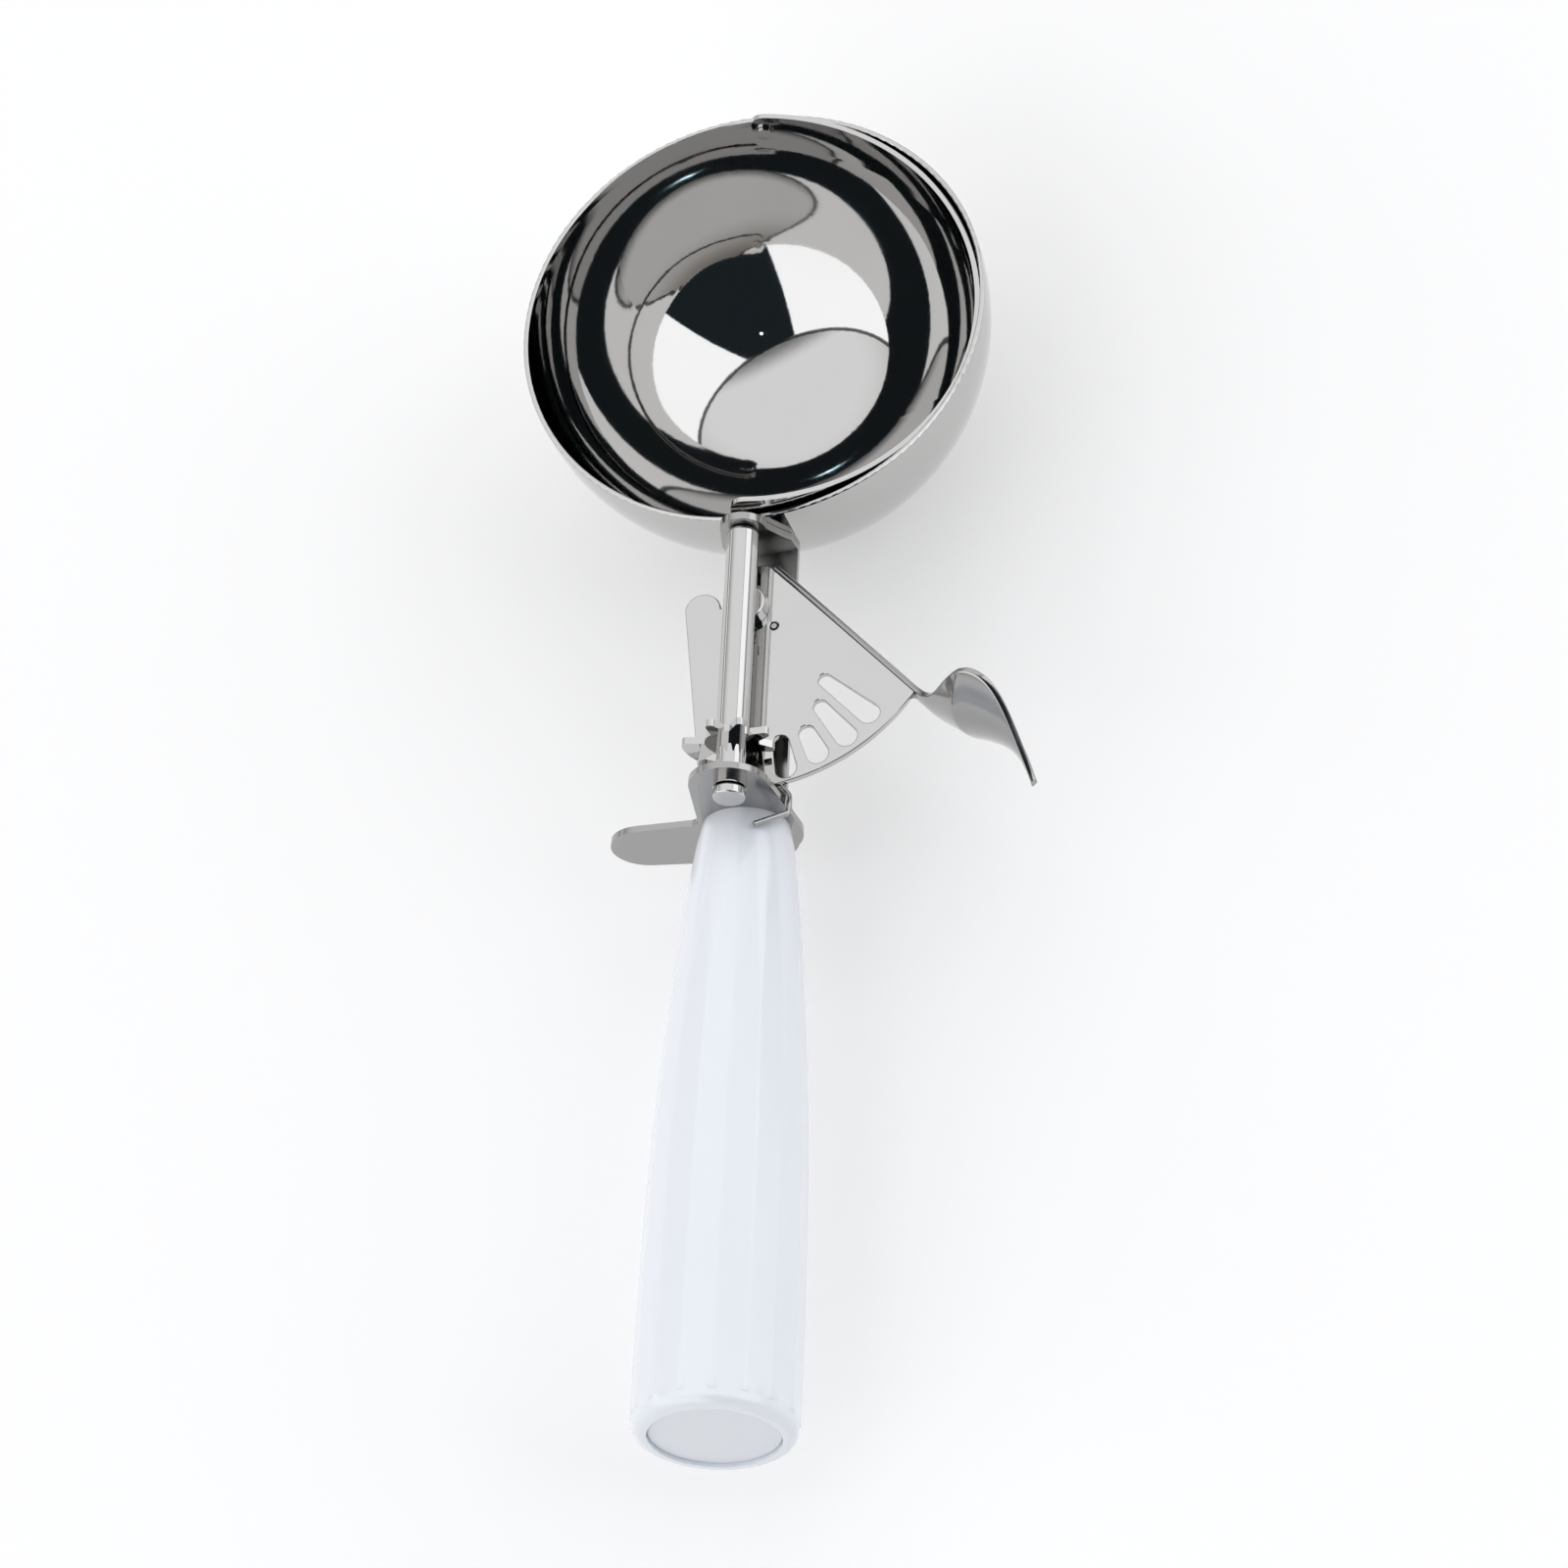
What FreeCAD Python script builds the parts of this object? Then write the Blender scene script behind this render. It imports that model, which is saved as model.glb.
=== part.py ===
import FreeCAD, Part
import math
import os

# Lever ice cream scoop.
# Working frame: origin at the bowl's centre on the shaft's axis, +Y along the shaft to the bowl's
# far end, +Z out of the bowl's mouth, +X towards the thumb lever. All sizes are in millimetres.
# The solids are moved once, at the end, so that the origin is the bottom centre of their box.

# Fits and clearances
run_fit = 0.08
seat_gap = 0.1

# Bowl
bowl_radius = 38.1
bowl_wall = 0.8
lip_height = 1.5
lip_edge_round = 0.25

# Shaft and its sleeves
core_radius = 1.2
tube_radius = 2.55
tube_top_round = 0.8
lower_sleeve_radius = 2.35
shaft_bush_radius = 2.65
shaft_bush_length = 1.2
shaft_bush_neck = 2.0
end_cap_radius = 2.6
end_cap_length = 1.65
end_cap_groove = 0.25
end_cap_round = 0.35

# Scraper blade
blade_thickness = 0.8
blade_width = 9.0
blade_wall_gap = 0.5
blade_end_reach = 2.0
blade_end_round = 2.6
blade_park_angle = 9.0
tip_pin_radius = 1.0
rivet_head_radius = 2.0
rivet_head_height = 0.8
tip_head_radius = 1.4
tip_head_height = 0.5
tip_head_round = 0.3

# Star wheel and sector gear
pivot_y = -50.5
mesh_radius = 26.7
star_pitches = 8
star_teeth_cut = 5
star_thickness = 1.2
star_tip_radius = 6.8
star_tooth_tip_round = 0.75
star_tooth_root_round = 1.35
star_tooth_root_radius = 3.4
star_hub_radius = 4.3
star_lobe_radius = 8.0
star_lobe_start = 80.0
star_lobe_end = 127.0
star_lobe_round = 0.9
star_mesh_tooth_angle = 20.0
gear_ratio = 4.5

# Sector plate
sector_front_z = -5.3
sector_thickness = 1.2
sector_rim_reach = 5.8
sector_tail_x = -7.4
sector_tail_radius = 2.9
sector_tail_rise = 0.4
sector_tail_foot_x = -6.4
slot_count = 5
slot_width = 2.9
slot_lean = 6.0
slot_outer_reach = 3.6
slot_inner_reach = 1.4
slot_inner_step = 0.75
fold_angle = 45.7
fold_offset = 7.6
fold_start = 3.4
sector_corner_round = 1.0

# Thumb lever
fold_height = 3.6
lever_thickness = 1.1
lap_width = 4.0
pad_length = 28.0
pad_drop = 1.4
pad_half_width = 12.6
pad_neck_half_width = 1.8
pad_tip_half_width = 1.0
pad_dish = 3.9
pad_widest_at = 15.68
pad_stations = 9

# Pivot rivet and return spring
rivet_shank_radius = 1.8
pivot_head_radius = 3.2
pivot_head_height = 1.6
pivot_tail_height = 0.8
washer_thickness = 0.6
washer_overhang = 0.3
wire_diameter = 0.9
coil_radius = 3.5
coil_turns = 1.75
spring_hole_clearance = 0.25
spring_anchor_x = 4.4
anchor_bend = 0.7
spring_edge_reach = 1.5
hook_end_x = 2.3
hook_end_z = -7.1
hook_drop = 3.9
hook_bend = 0.9
spring_under_gap = 0.65
spring_under_bend = 1.5
spring_knee_bend = 3.0
spring_knee_rise = 4.8

# Frame strap
strap_front_z = -9.9
strap_thickness = 1.2
strap_left_x = -4.8
strap_right_x = 6.5
eye_radius = 3.7
foot_depth = 11.0

# Finger plate
lower_sleeve_length = 5.4
plate_thickness = 1.1
plate_centre_x = -0.6
plate_front_z = -1.7
plate_front_radius = 6.35
plate_back_z = -17.3
plate_back_radius = 8.1
rest_tip_x = -18.4
rest_tip_z = -19.8
rest_tip_radius = 5.7
rest_root_half_width = 6.9
rest_corner_round = 1.6

# Handle
grip_length = 105.6
grip_top_x = -1.0
grip_top_z = -15.3
grip_end_x = -0.3
grip_end_z = -12.3
grip_top_radius = 6.9
grip_shoulder_radius = 7.9
grip_shoulder_at = 5.0
grip_neck_radius = 9.35
grip_neck_at = 18.0
grip_belly_radius = 11.75
grip_belly_at = 49.0
grip_full_radius = 12.7
grip_full_at = 78.0
grip_end_radius = 12.95
grip_end_round = 1.9
grip_facets = 16
facet_depth = 0.2
facet_top_at = 26.0
ring_groove_width = 0.7
ring_groove_depth = 0.3
ring_groove_from_end = 8.0
end_recess_radius = 10.3
end_recess_depth = 2.4
end_plug_thickness = 1.8
tang_radius = 2.5
tang_length = 78.0
tang_head_radius = 3.6
tang_head_height = 1.0
tang_groove_depth = 0.4
tang_groove_width = 2.0
tang_grooves = 4

# Sizes that follow
inner_radius = bowl_radius - bowl_wall
blade_outer_radius = inner_radius - blade_wall_gap
blade_inner_radius = blade_outer_radius - blade_thickness
strap_seat_radius = bowl_radius + seat_gap / 2
strap_outer_radius = strap_seat_radius + strap_thickness
strap_back_z = strap_front_z - strap_thickness
sector_back_z = sector_front_z - sector_thickness
sector_radius = mesh_radius + sector_rim_reach
slot_outer_radius = mesh_radius + slot_outer_reach
slot_inner_first = mesh_radius - slot_inner_reach
coil_back_z = strap_front_z + seat_gap + wire_diameter / 2
coil_front_z = sector_back_z - seat_gap - wire_diameter / 2
star_mid_y = pivot_y - mesh_radius
star_top_y = star_mid_y + star_thickness / 2
star_bottom_y = star_mid_y - star_thickness / 2
plate_top_y = star_bottom_y - lower_sleeve_length - seat_gap
plate_bottom_y = plate_top_y - plate_thickness
bush_end_y = plate_bottom_y - shaft_bush_length
cap_top_y = bush_end_y - end_cap_groove
cap_end_y = cap_top_y - end_cap_length
core_end_y = cap_end_y + end_cap_round
core_top_y = -blade_inner_radius + rivet_head_height
bore_radius = core_radius + run_fit
tooth_pitch_angle = 360.0 / star_pitches
slot_pitch_angle = tooth_pitch_angle / gear_ratio
first_slot_angle = star_mesh_tooth_angle / gear_ratio
scraper_travel = 180.0 - 2 * blade_park_angle
lever_travel = scraper_travel / gear_ratio
far = 4 * bowl_radius

Y_AXIS = FreeCAD.Vector(0, 1, 0)
Z_AXIS = FreeCAD.Vector(0, 0, 1)
ORIGIN = FreeCAD.Vector(0, 0, 0)
PIVOT = FreeCAD.Vector(0, pivot_y, 0)


def vec(x, y, z):
    return FreeCAD.Vector(x, y, z)


def y_cylinder(radius, y_low, y_high, x=0.0, z=0.0):
    """Cylinder along the shaft's direction between two heights."""
    return Part.makeCylinder(radius, y_high - y_low, vec(x, y_low, z), Y_AXIS)


def z_cylinder(radius, z_low, z_high, x=0.0, y=0.0):
    """Cylinder square to the sector plate."""
    return Part.makeCylinder(radius, z_high - z_low, vec(x, y, z_low), Z_AXIS)


def sphere(radius):
    return Part.makeSphere(radius, ORIGIN, Z_AXIS, -90, 90, 360)


def box_between(x_low, x_high, y_low, y_high, z_low, z_high):
    corner = vec(x_low, y_low, z_low)
    return Part.makeBox(x_high - x_low, y_high - y_low, z_high - z_low, corner)


def prism(points, direction):
    """Straight-sided outline pushed along one direction."""
    wire = Part.makePolygon(points + [points[0]])
    return Part.Face(wire).extrude(direction)


def two_circle_hull(c1, r1, c2, r2, place, push):
    """Belt shape round two circles, given as plane coordinates."""
    dx = c2[0] - c1[0]
    dz = c2[1] - c1[1]
    reach = math.hypot(dx, dz)
    heading = math.atan2(dz, dx)
    swing = math.acos((r1 - r2) / reach)
    points = []
    for centre, radius, turn in ((c1, r1, swing), (c2, r2, swing), (c2, r2, -swing), (c1, r1, -swing)):
        angle = heading + turn
        points.append(place(centre[0] + radius * math.cos(angle), centre[1] + radius * math.sin(angle)))
    back = place(c1[0] - r1 * math.cos(heading), c1[1] - r1 * math.sin(heading))
    front = place(c2[0] + r2 * math.cos(heading), c2[1] + r2 * math.sin(heading))
    edges = [
        Part.makeLine(points[0], points[1]),
        Part.Arc(points[1], front, points[2]).toShape(),
        Part.makeLine(points[2], points[3]),
        Part.Arc(points[3], back, points[0]).toShape(),
    ]
    return Part.Face(Part.Wire(edges)).extrude(push)


def edges_along(shape, axis, test):
    """Straight edges parallel to an axis whose middle passes a test."""
    picked = []
    for edge in shape.Edges:
        if len(edge.Vertexes) != 2 or not isinstance(edge.Curve, Part.Line):
            continue
        run = edge.Vertexes[1].Point.sub(edge.Vertexes[0].Point)
        if run.Length > 1e-6 and abs(abs(run.normalize().dot(axis)) - 1) < 1e-6:
            if test(edge.CenterOfMass):
                picked.append(edge)
    return picked


# Bowl and its rivet

def make_bowl():
    """Half-round bowl with a straight lip, spun about the mouth's axis."""
    half = math.sqrt(0.5)
    outer = Part.Arc(vec(0, 0, -bowl_radius), vec(bowl_radius * half, 0, -bowl_radius * half),
                     vec(bowl_radius, 0, 0)).toShape()
    inner = Part.Arc(vec(inner_radius, 0, 0), vec(inner_radius * half, 0, -inner_radius * half),
                     vec(0, 0, -inner_radius)).toShape()
    edges = [
        outer,
        Part.makeLine(vec(bowl_radius, 0, 0), vec(bowl_radius, 0, lip_height)),
        Part.makeLine(vec(bowl_radius, 0, lip_height), vec(inner_radius, 0, lip_height)),
        Part.makeLine(vec(inner_radius, 0, lip_height), vec(inner_radius, 0, 0)),
        inner,
        Part.makeLine(vec(0, 0, -inner_radius), vec(0, 0, -bowl_radius)),
    ]
    bowl = Part.Face(Part.Wire(edges)).revolve(ORIGIN, Z_AXIS, 360)
    rim = [e for e in bowl.Edges if abs(e.BoundBox.ZMin - lip_height) < 1e-6 and e.BoundBox.ZLength < 1e-6]
    bowl = bowl.makeFillet(min(lip_edge_round, bowl_wall * 0.4), rim)
    bowl = bowl.cut(y_cylinder(bore_radius, -far, 0))
    return bowl.cut(y_cylinder(tip_pin_radius, 0, far))


def make_blade_tip_rivet():
    """Pin through the bowl's far wall, with a low head on each side that stays below the rim."""
    inner_seat = blade_inner_radius - seat_gap
    pin = y_cylinder(tip_pin_radius, inner_seat - tip_head_height / 2, bowl_radius)
    inner_head = y_cylinder(tip_head_radius, inner_seat - tip_head_height, inner_seat)
    inner_head = inner_head.common(sphere(inner_seat))
    outer_head = y_cylinder(tip_head_radius, inner_radius, bowl_radius + tip_head_height)
    outer_head = outer_head.cut(sphere(bowl_radius)).cut(z_cylinder(bowl_radius, -far, far))
    top = [e for e in outer_head.Edges if abs(e.BoundBox.YMin - bowl_radius - tip_head_height) < 1e-6]
    outer_head = outer_head.makeFillet(tip_head_round, top)
    return pin.fuse([inner_head, outer_head]).removeSplitter()


# Scraper

def make_scraper_blade():
    """Half-round band that sweeps the bowl's inner wall, parked near the rim."""
    band = sphere(blade_outer_radius).cut(sphere(blade_inner_radius))
    half = blade_width / 2
    slab = box_between(-blade_end_reach, far, -far, far, -half, half)
    corners = edges_along(slab, Y_AXIS, lambda p: p.x < 0)
    slab = slab.makeFillet(min(blade_end_round, half * 0.6, blade_end_reach * 1.2), corners)
    blade = band.common(slab)
    blade = blade.cut(y_cylinder(bore_radius, -far, 0))
    blade = blade.cut(y_cylinder(tip_pin_radius + run_fit, 0, far))
    blade.rotate(ORIGIN, Y_AXIS, blade_park_angle)
    return blade


def make_shaft_core():
    """Rod that carries the sleeves, the star wheel and the blade's root."""
    return y_cylinder(core_radius, core_end_y, core_top_y)


def make_blade_root_rivet():
    """Peened ring that holds the blade's root on the rod, inside the bowl."""
    head = y_cylinder(rivet_head_radius, -blade_inner_radius, core_top_y)
    top = [e for e in head.Edges if abs(e.BoundBox.YMin - core_top_y) < 1e-6]
    head = head.makeFillet(rivet_head_height * 0.4, top)
    head = head.common(sphere(blade_inner_radius))
    return head.cut(y_cylinder(core_radius, -far, far))


def make_shaft_tube():
    """Long bright sleeve between the bowl's eye plate and the star wheel."""
    top = -strap_outer_radius - seat_gap
    tube = y_cylinder(tube_radius, star_top_y, top)
    rim = [e for e in tube.Edges if abs(e.BoundBox.YMin - top) < 1e-6 and e.BoundBox.YLength < 1e-6]
    tube = tube.makeFillet(tube_top_round, rim)
    return tube.cut(y_cylinder(core_radius, -far, far))


def make_lower_sleeve():
    """Short sleeve between the star wheel and the finger plate."""
    sleeve = y_cylinder(lower_sleeve_radius, plate_top_y + seat_gap, star_bottom_y)
    return sleeve.cut(y_cylinder(core_radius, -far, far))


def make_shaft_end_cap():
    """Button pressed on the rod's end, under the bush."""
    cap = y_cylinder(end_cap_radius, cap_end_y, cap_top_y)
    cap = cap.makeFillet(end_cap_round, [e for e in cap.Edges if e.BoundBox.YLength < 1e-6])
    return cap.cut(y_cylinder(core_radius, core_end_y, far))


def make_star_wheel():
    """Stamped pinion: rounded teeth round a hub, and one plain lobe that stops the shaft."""
    push = vec(0, star_thickness, 0)

    def place(x, z):
        return vec(x, star_bottom_y, z)

    wheel = y_cylinder(star_hub_radius, star_bottom_y, star_top_y)
    tip_at = star_tip_radius - star_tooth_tip_round
    for number in range(star_teeth_cut):
        angle = -90.0 + star_mesh_tooth_angle + number * tooth_pitch_angle
        out = (math.cos(math.radians(angle)), math.sin(math.radians(angle)))
        root = (out[0] * star_tooth_root_radius, out[1] * star_tooth_root_radius)
        tip = (out[0] * tip_at, out[1] * tip_at)
        wheel = wheel.fuse(two_circle_hull(root, star_tooth_root_round, tip, star_tooth_tip_round, place, push))
    wheel = wheel.fuse(make_star_lobe())
    wheel = wheel.removeSplitter()
    return wheel.cut(y_cylinder(core_radius, -far, far))


def make_star_lobe():
    """Toothless part of the star wheel, on the side away from the lever."""
    def rim(angle, radius):
        turn = math.radians(angle)
        return vec(-radius * math.sin(turn), star_bottom_y, radius * math.cos(turn))

    middle = (star_lobe_start + star_lobe_end) / 2
    arc = Part.Arc(rim(star_lobe_start, star_lobe_radius), rim(middle, star_lobe_radius),
                   rim(star_lobe_end, star_lobe_radius)).toShape()
    edges = [
        Part.makeLine(vec(0, star_bottom_y, 0), rim(star_lobe_start, star_lobe_radius)),
        arc,
        Part.makeLine(rim(star_lobe_end, star_lobe_radius), vec(0, star_bottom_y, 0)),
    ]
    lobe = Part.Face(Part.Wire(edges)).extrude(vec(0, star_thickness, 0))
    corners = edges_along(lobe, Y_AXIS, lambda p: math.hypot(p.x, p.z) > star_lobe_radius * 0.9)
    return lobe.makeFillet(star_lobe_round, corners)


# Sector gear

def polar(radius, angle, z):
    """Point about the pivot; the angle runs from straight down towards the lever's side."""
    turn = math.radians(angle)
    return vec(radius * math.sin(turn), pivot_y - radius * math.cos(turn), z)


def fold_point(along, z, out=0.0):
    """Point on the sector's folded edge, measured from the pivot's foot on that edge."""
    turn = math.radians(fold_angle)
    run = vec(math.cos(turn), -math.sin(turn), 0)
    side = vec(math.sin(turn), math.cos(turn), 0)
    point = PIVOT + side * (fold_offset + out) + run * along
    return vec(point.x, point.y, z)


def fold_end():
    """Length along the folded edge at which it meets the sector's arc."""
    return math.sqrt(sector_radius ** 2 - fold_offset ** 2)


def make_slot(number):
    """One gear slot: a rounded slot that leans a little off its radius."""
    angle = first_slot_angle + number * slot_pitch_angle
    half = slot_width / 2
    inner = slot_inner_first - half
    if number > 1:
        inner -= slot_inner_step * (number - 1) * (number + 2) / 2
    outer = slot_outer_radius - half * 0.4
    middle = polar(mesh_radius, angle, sector_back_z)
    lean = math.radians(slot_lean if number > 0 else 0.0)
    out = polar(1, angle, 0).sub(PIVOT)
    side = vec(-out.y, out.x, 0)
    run = out * math.cos(lean) + side * math.sin(lean)
    start = middle + run * (inner - mesh_radius)
    end = middle + run * (outer - mesh_radius)
    return two_circle_hull((start.x, start.y), half, (end.x, end.y), half,
                           lambda x, y: vec(x, y, sector_back_z), vec(0, 0, sector_thickness))


def make_sector_gear():
    """Flat fan plate that turns on the rivet; its slots drive the star wheel."""
    z = sector_back_z
    foot_drop = math.sqrt(sector_radius ** 2 - sector_tail_foot_x ** 2)
    foot = vec(sector_tail_foot_x, pivot_y - foot_drop, z)
    corner = fold_point(fold_end(), z)
    tail_y = pivot_y + sector_tail_rise
    tail_left = vec(sector_tail_x - sector_tail_radius, tail_y, z)
    tail_top = vec(sector_tail_x, tail_y + sector_tail_radius, z)
    tail_right = vec(sector_tail_x + sector_tail_radius, tail_y, z)
    hub_left = vec(-pivot_head_radius, tail_y, z)
    fold_top = fold_point(-fold_start, z)
    hub_top = vec(-pivot_head_radius * 0.6, fold_top.y, z)
    edges = [
        Part.makeLine(foot, tail_left),
        Part.Arc(tail_left, tail_top, tail_right).toShape(),
        Part.makeLine(tail_right, hub_left),
        Part.makeLine(hub_left, hub_top),
        Part.makeLine(hub_top, fold_top),
        Part.makeLine(fold_top, corner),
        Part.Arc(corner, polar(sector_radius, 20.0, z), foot).toShape(),
    ]
    plate = Part.Face(Part.Wire(edges)).extrude(vec(0, 0, sector_thickness))
    round_at = edges_along(plate, Z_AXIS, lambda p: (p - foot).Length < 2 or (p - fold_top).Length < 2)
    plate = plate.makeFillet(sector_corner_round, round_at)
    plate = plate.cut(z_cylinder(rivet_shank_radius + run_fit, z - 1, sector_front_z + 1, 0, pivot_y))
    hole = wire_diameter / 2 + spring_hole_clearance
    plate = plate.cut(z_cylinder(hole, z - 1, sector_front_z + 1, spring_anchor_x, pivot_y - coil_radius))
    for number in range(slot_count):
        plate = plate.cut(make_slot(number))
    return plate


def pad_half_width_at(share):
    """Half width of the leaf: swells from the neck to its widest place, then closes to the tip."""
    widest = pad_widest_at / pad_length
    if share < widest:
        step = share / widest
        ease = math.sin(step * math.pi / 2) ** 2
        return pad_neck_half_width + (pad_half_width - pad_neck_half_width) * ease
    step = (share - widest) / (1 - widest)
    ease = math.cos(step * math.pi / 2) ** 1.2
    return pad_tip_half_width + (pad_half_width - pad_tip_half_width) * ease


def pad_grid(lift):
    """Points of the dished leaf, rows from neck to tip, on one side of the sheet."""
    turn = math.radians(fold_angle)
    run = vec(math.cos(turn), -math.sin(turn), 0)
    side = vec(math.sin(turn), math.cos(turn), 0)
    middle_z = sector_front_z + fold_height / 2
    start = fold_point(fold_end() - lever_thickness, middle_z)
    rows = []
    for number in range(pad_stations + 1):
        share = number / pad_stations
        half = pad_half_width_at(share)
        sag = -pad_drop * math.sin(math.pi * share)
        dish = pad_dish * (half / pad_half_width) ** 2
        row = []
        for across in (-1.0, -0.66, -0.33, 0.0, 0.33, 0.66, 1.0):
            rise = sag + dish * across * across + lift
            row.append(start + run * (pad_length * share) + side * rise + vec(0, 0, half * across))
        rows.append(row)
    return rows


def closed_sheet(lower_rows, upper_rows):
    """Solid between two smooth surfaces that share the same grid."""
    def surface(rows):
        patch = Part.BSplineSurface()
        patch.interpolate(rows)
        return patch

    def border(patch, name):
        u0, u1, v0, v1 = patch.bounds()
        curve = {
            "start": lambda: patch.uIso(u0),
            "end": lambda: patch.uIso(u1),
            "left": lambda: patch.vIso(v0),
            "right": lambda: patch.vIso(v1),
        }[name]()
        return curve.toShape()

    lower = surface(lower_rows)
    upper = surface(upper_rows)
    faces = [lower.toShape(), upper.toShape()]
    for name in ("start", "end", "left", "right"):
        faces.append(Part.makeRuledSurface(border(lower, name), border(upper, name)))
    shell = Part.makeShell(faces)
    shell.sewShape()
    solid = Part.makeSolid(shell)
    if solid.Volume < 0:
        solid.reverse()
    return solid


def make_thumb_lever():
    """Folded rail along the sector's edge that runs on into the dished thumb leaf."""
    start = -fold_start + sector_corner_round
    end = fold_end()
    top_z = sector_front_z + fold_height
    rail = prism([
        fold_point(start, sector_back_z),
        fold_point(start + fold_height, top_z),
        fold_point(end, top_z),
        fold_point(end, sector_back_z),
    ], fold_point(0, 0, lever_thickness) - fold_point(0, 0))
    lap = prism([
        fold_point(start, sector_back_z, lever_thickness),
        fold_point(end, sector_back_z, lever_thickness),
        fold_point(end - lap_width, sector_back_z, -lap_width),
        fold_point(start + lap_width, sector_back_z, -lap_width),
    ], vec(0, 0, -lever_thickness))
    leaf = closed_sheet(pad_grid(0.0), pad_grid(lever_thickness))
    lever = rail.fuse([lap, leaf])
    return lever.removeSplitter()


def make_pivot_rivet():
    """Headed rivet through sector, spring and strap."""
    head_low = sector_front_z + seat_gap + washer_thickness
    head = z_cylinder(pivot_head_radius, head_low, head_low + pivot_head_height, 0, pivot_y)
    head = head.makeFillet(0.3, [e for e in head.Edges if e.BoundBox.ZLength < 1e-6
                                 and e.BoundBox.ZMin > head_low + 1])
    shank = z_cylinder(rivet_shank_radius, strap_back_z - pivot_tail_height / 2, head_low, 0, pivot_y)
    tail = z_cylinder(pivot_head_radius, strap_back_z - pivot_tail_height, strap_back_z, 0, pivot_y)
    tail = tail.makeFillet(pivot_tail_height * 0.6, [e for e in tail.Edges if e.BoundBox.ZLength < 1e-6
                                                    and e.BoundBox.ZMin < strap_back_z - 0.1])
    return head.fuse([shank, tail]).removeSplitter()


# Return spring

def arc_leaving(start, heading, end):
    """Arc that leaves a point along a heading and reaches another point."""
    chord = end - start
    length = chord.Length
    along = chord * (1.0 / length)
    swing = along.getAngle(heading)
    across = heading - along * heading.dot(along)
    across.normalize()
    middle = start + chord * 0.5 + across * (length / 2 * math.tan(swing / 2))
    return Part.Arc(start, middle, end).toShape()


def biarc(start, heading, end, arrival):
    """Two tangent arcs between two points with given headings."""
    gap = end - start
    both = heading + arrival
    spread = 2 * (1 - heading.dot(arrival))
    reach = (-gap.dot(both) + math.sqrt(gap.dot(both) ** 2 + spread * gap.dot(gap))) / spread
    joint = (start + heading * reach + end - arrival * reach) * 0.5
    middle_heading = end - arrival * reach - start - heading * reach
    middle_heading.normalize()
    return [arc_leaving(start, heading, joint), arc_leaving(joint, middle_heading, end)]


def bent_run(points, radii):
    """Straight runs joined by tangent arcs, one radius for each inner point."""
    edges = []
    last = points[0]
    for number, radius in enumerate(radii, start=1):
        corner = points[number]
        back = points[number - 1] - corner
        back.normalize()
        ahead = points[number + 1] - corner
        ahead.normalize()
        half_turn = back.getAngle(ahead) / 2
        reach = radius / math.tan(half_turn)
        bisector = back + ahead
        bisector.normalize()
        middle = corner + bisector * (radius / math.sin(half_turn) - radius)
        edges.append(Part.makeLine(last, corner + back * reach))
        edges.append(Part.Arc(corner + back * reach, middle, corner + ahead * reach).toShape())
        last = corner + ahead * reach
    edges.append(Part.makeLine(last, points[-1]))
    return edges


def coil_point(turn):
    """Point on the coil, which runs from its back turn to its front turn."""
    angle = 2 * math.pi * turn
    rise = (coil_front_z - coil_back_z) * turn / coil_turns
    return vec(coil_radius * math.cos(angle), pivot_y + coil_radius * math.sin(angle), coil_back_z + rise)


def coil_heading(turn):
    """Direction of the wire on the coil; it is level where the legs leave."""
    angle = 2 * math.pi * turn
    climb = (coil_front_z - coil_back_z) / coil_turns
    if turn < 1e-6 or turn > coil_turns - 1e-6:
        climb = 0.0
    run = 2 * math.pi * coil_radius
    heading = vec(-run * math.sin(angle), run * math.cos(angle), climb)
    return heading.normalize()


def make_return_spring():
    """Torsion spring: one wire from under the finger plate, round the rivet, into the sector."""
    plate_edge = plate_centre_x + plate_front_radius + spring_edge_reach
    outside = vec(plate_edge, plate_top_y + wire_diameter, coil_back_z)
    under = vec(plate_edge, plate_bottom_y - spring_under_gap - wire_diameter / 2, coil_back_z)
    hook = vec(hook_end_x, plate_bottom_y - hook_drop, hook_end_z)
    knee = vec(coil_radius, plate_top_y + spring_knee_rise, coil_back_z)
    edges = bent_run([hook, under, outside, knee, coil_point(0)], [hook_bend, spring_under_bend, spring_knee_bend])
    quarters = round(coil_turns * 4)
    for number in range(quarters):
        first = number / 4
        second = (number + 1) / 4
        edges += biarc(coil_point(first), coil_heading(first), coil_point(second), coil_heading(second))
    last = coil_point(coil_turns)
    turn_up = vec(spring_anchor_x, last.y, last.z)
    end = vec(spring_anchor_x, last.y, sector_front_z)
    edges += bent_run([last, turn_up, end], [anchor_bend])
    path = Part.Wire(edges)
    start_run = edges[0].tangentAt(edges[0].FirstParameter)
    section = Part.Wire(Part.Circle(hook, start_run, wire_diameter / 2).toShape())
    spring = path.makePipeShell([section], True, False)
    expected = math.pi * (wire_diameter / 2) ** 2 * path.Length
    print("spring volume", round(spring.Volume, 3), "section times length", round(expected, 3))
    print("spring least gap", round((coil_front_z - coil_back_z) / coil_turns - wire_diameter, 3))
    return spring


# Frame

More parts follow.
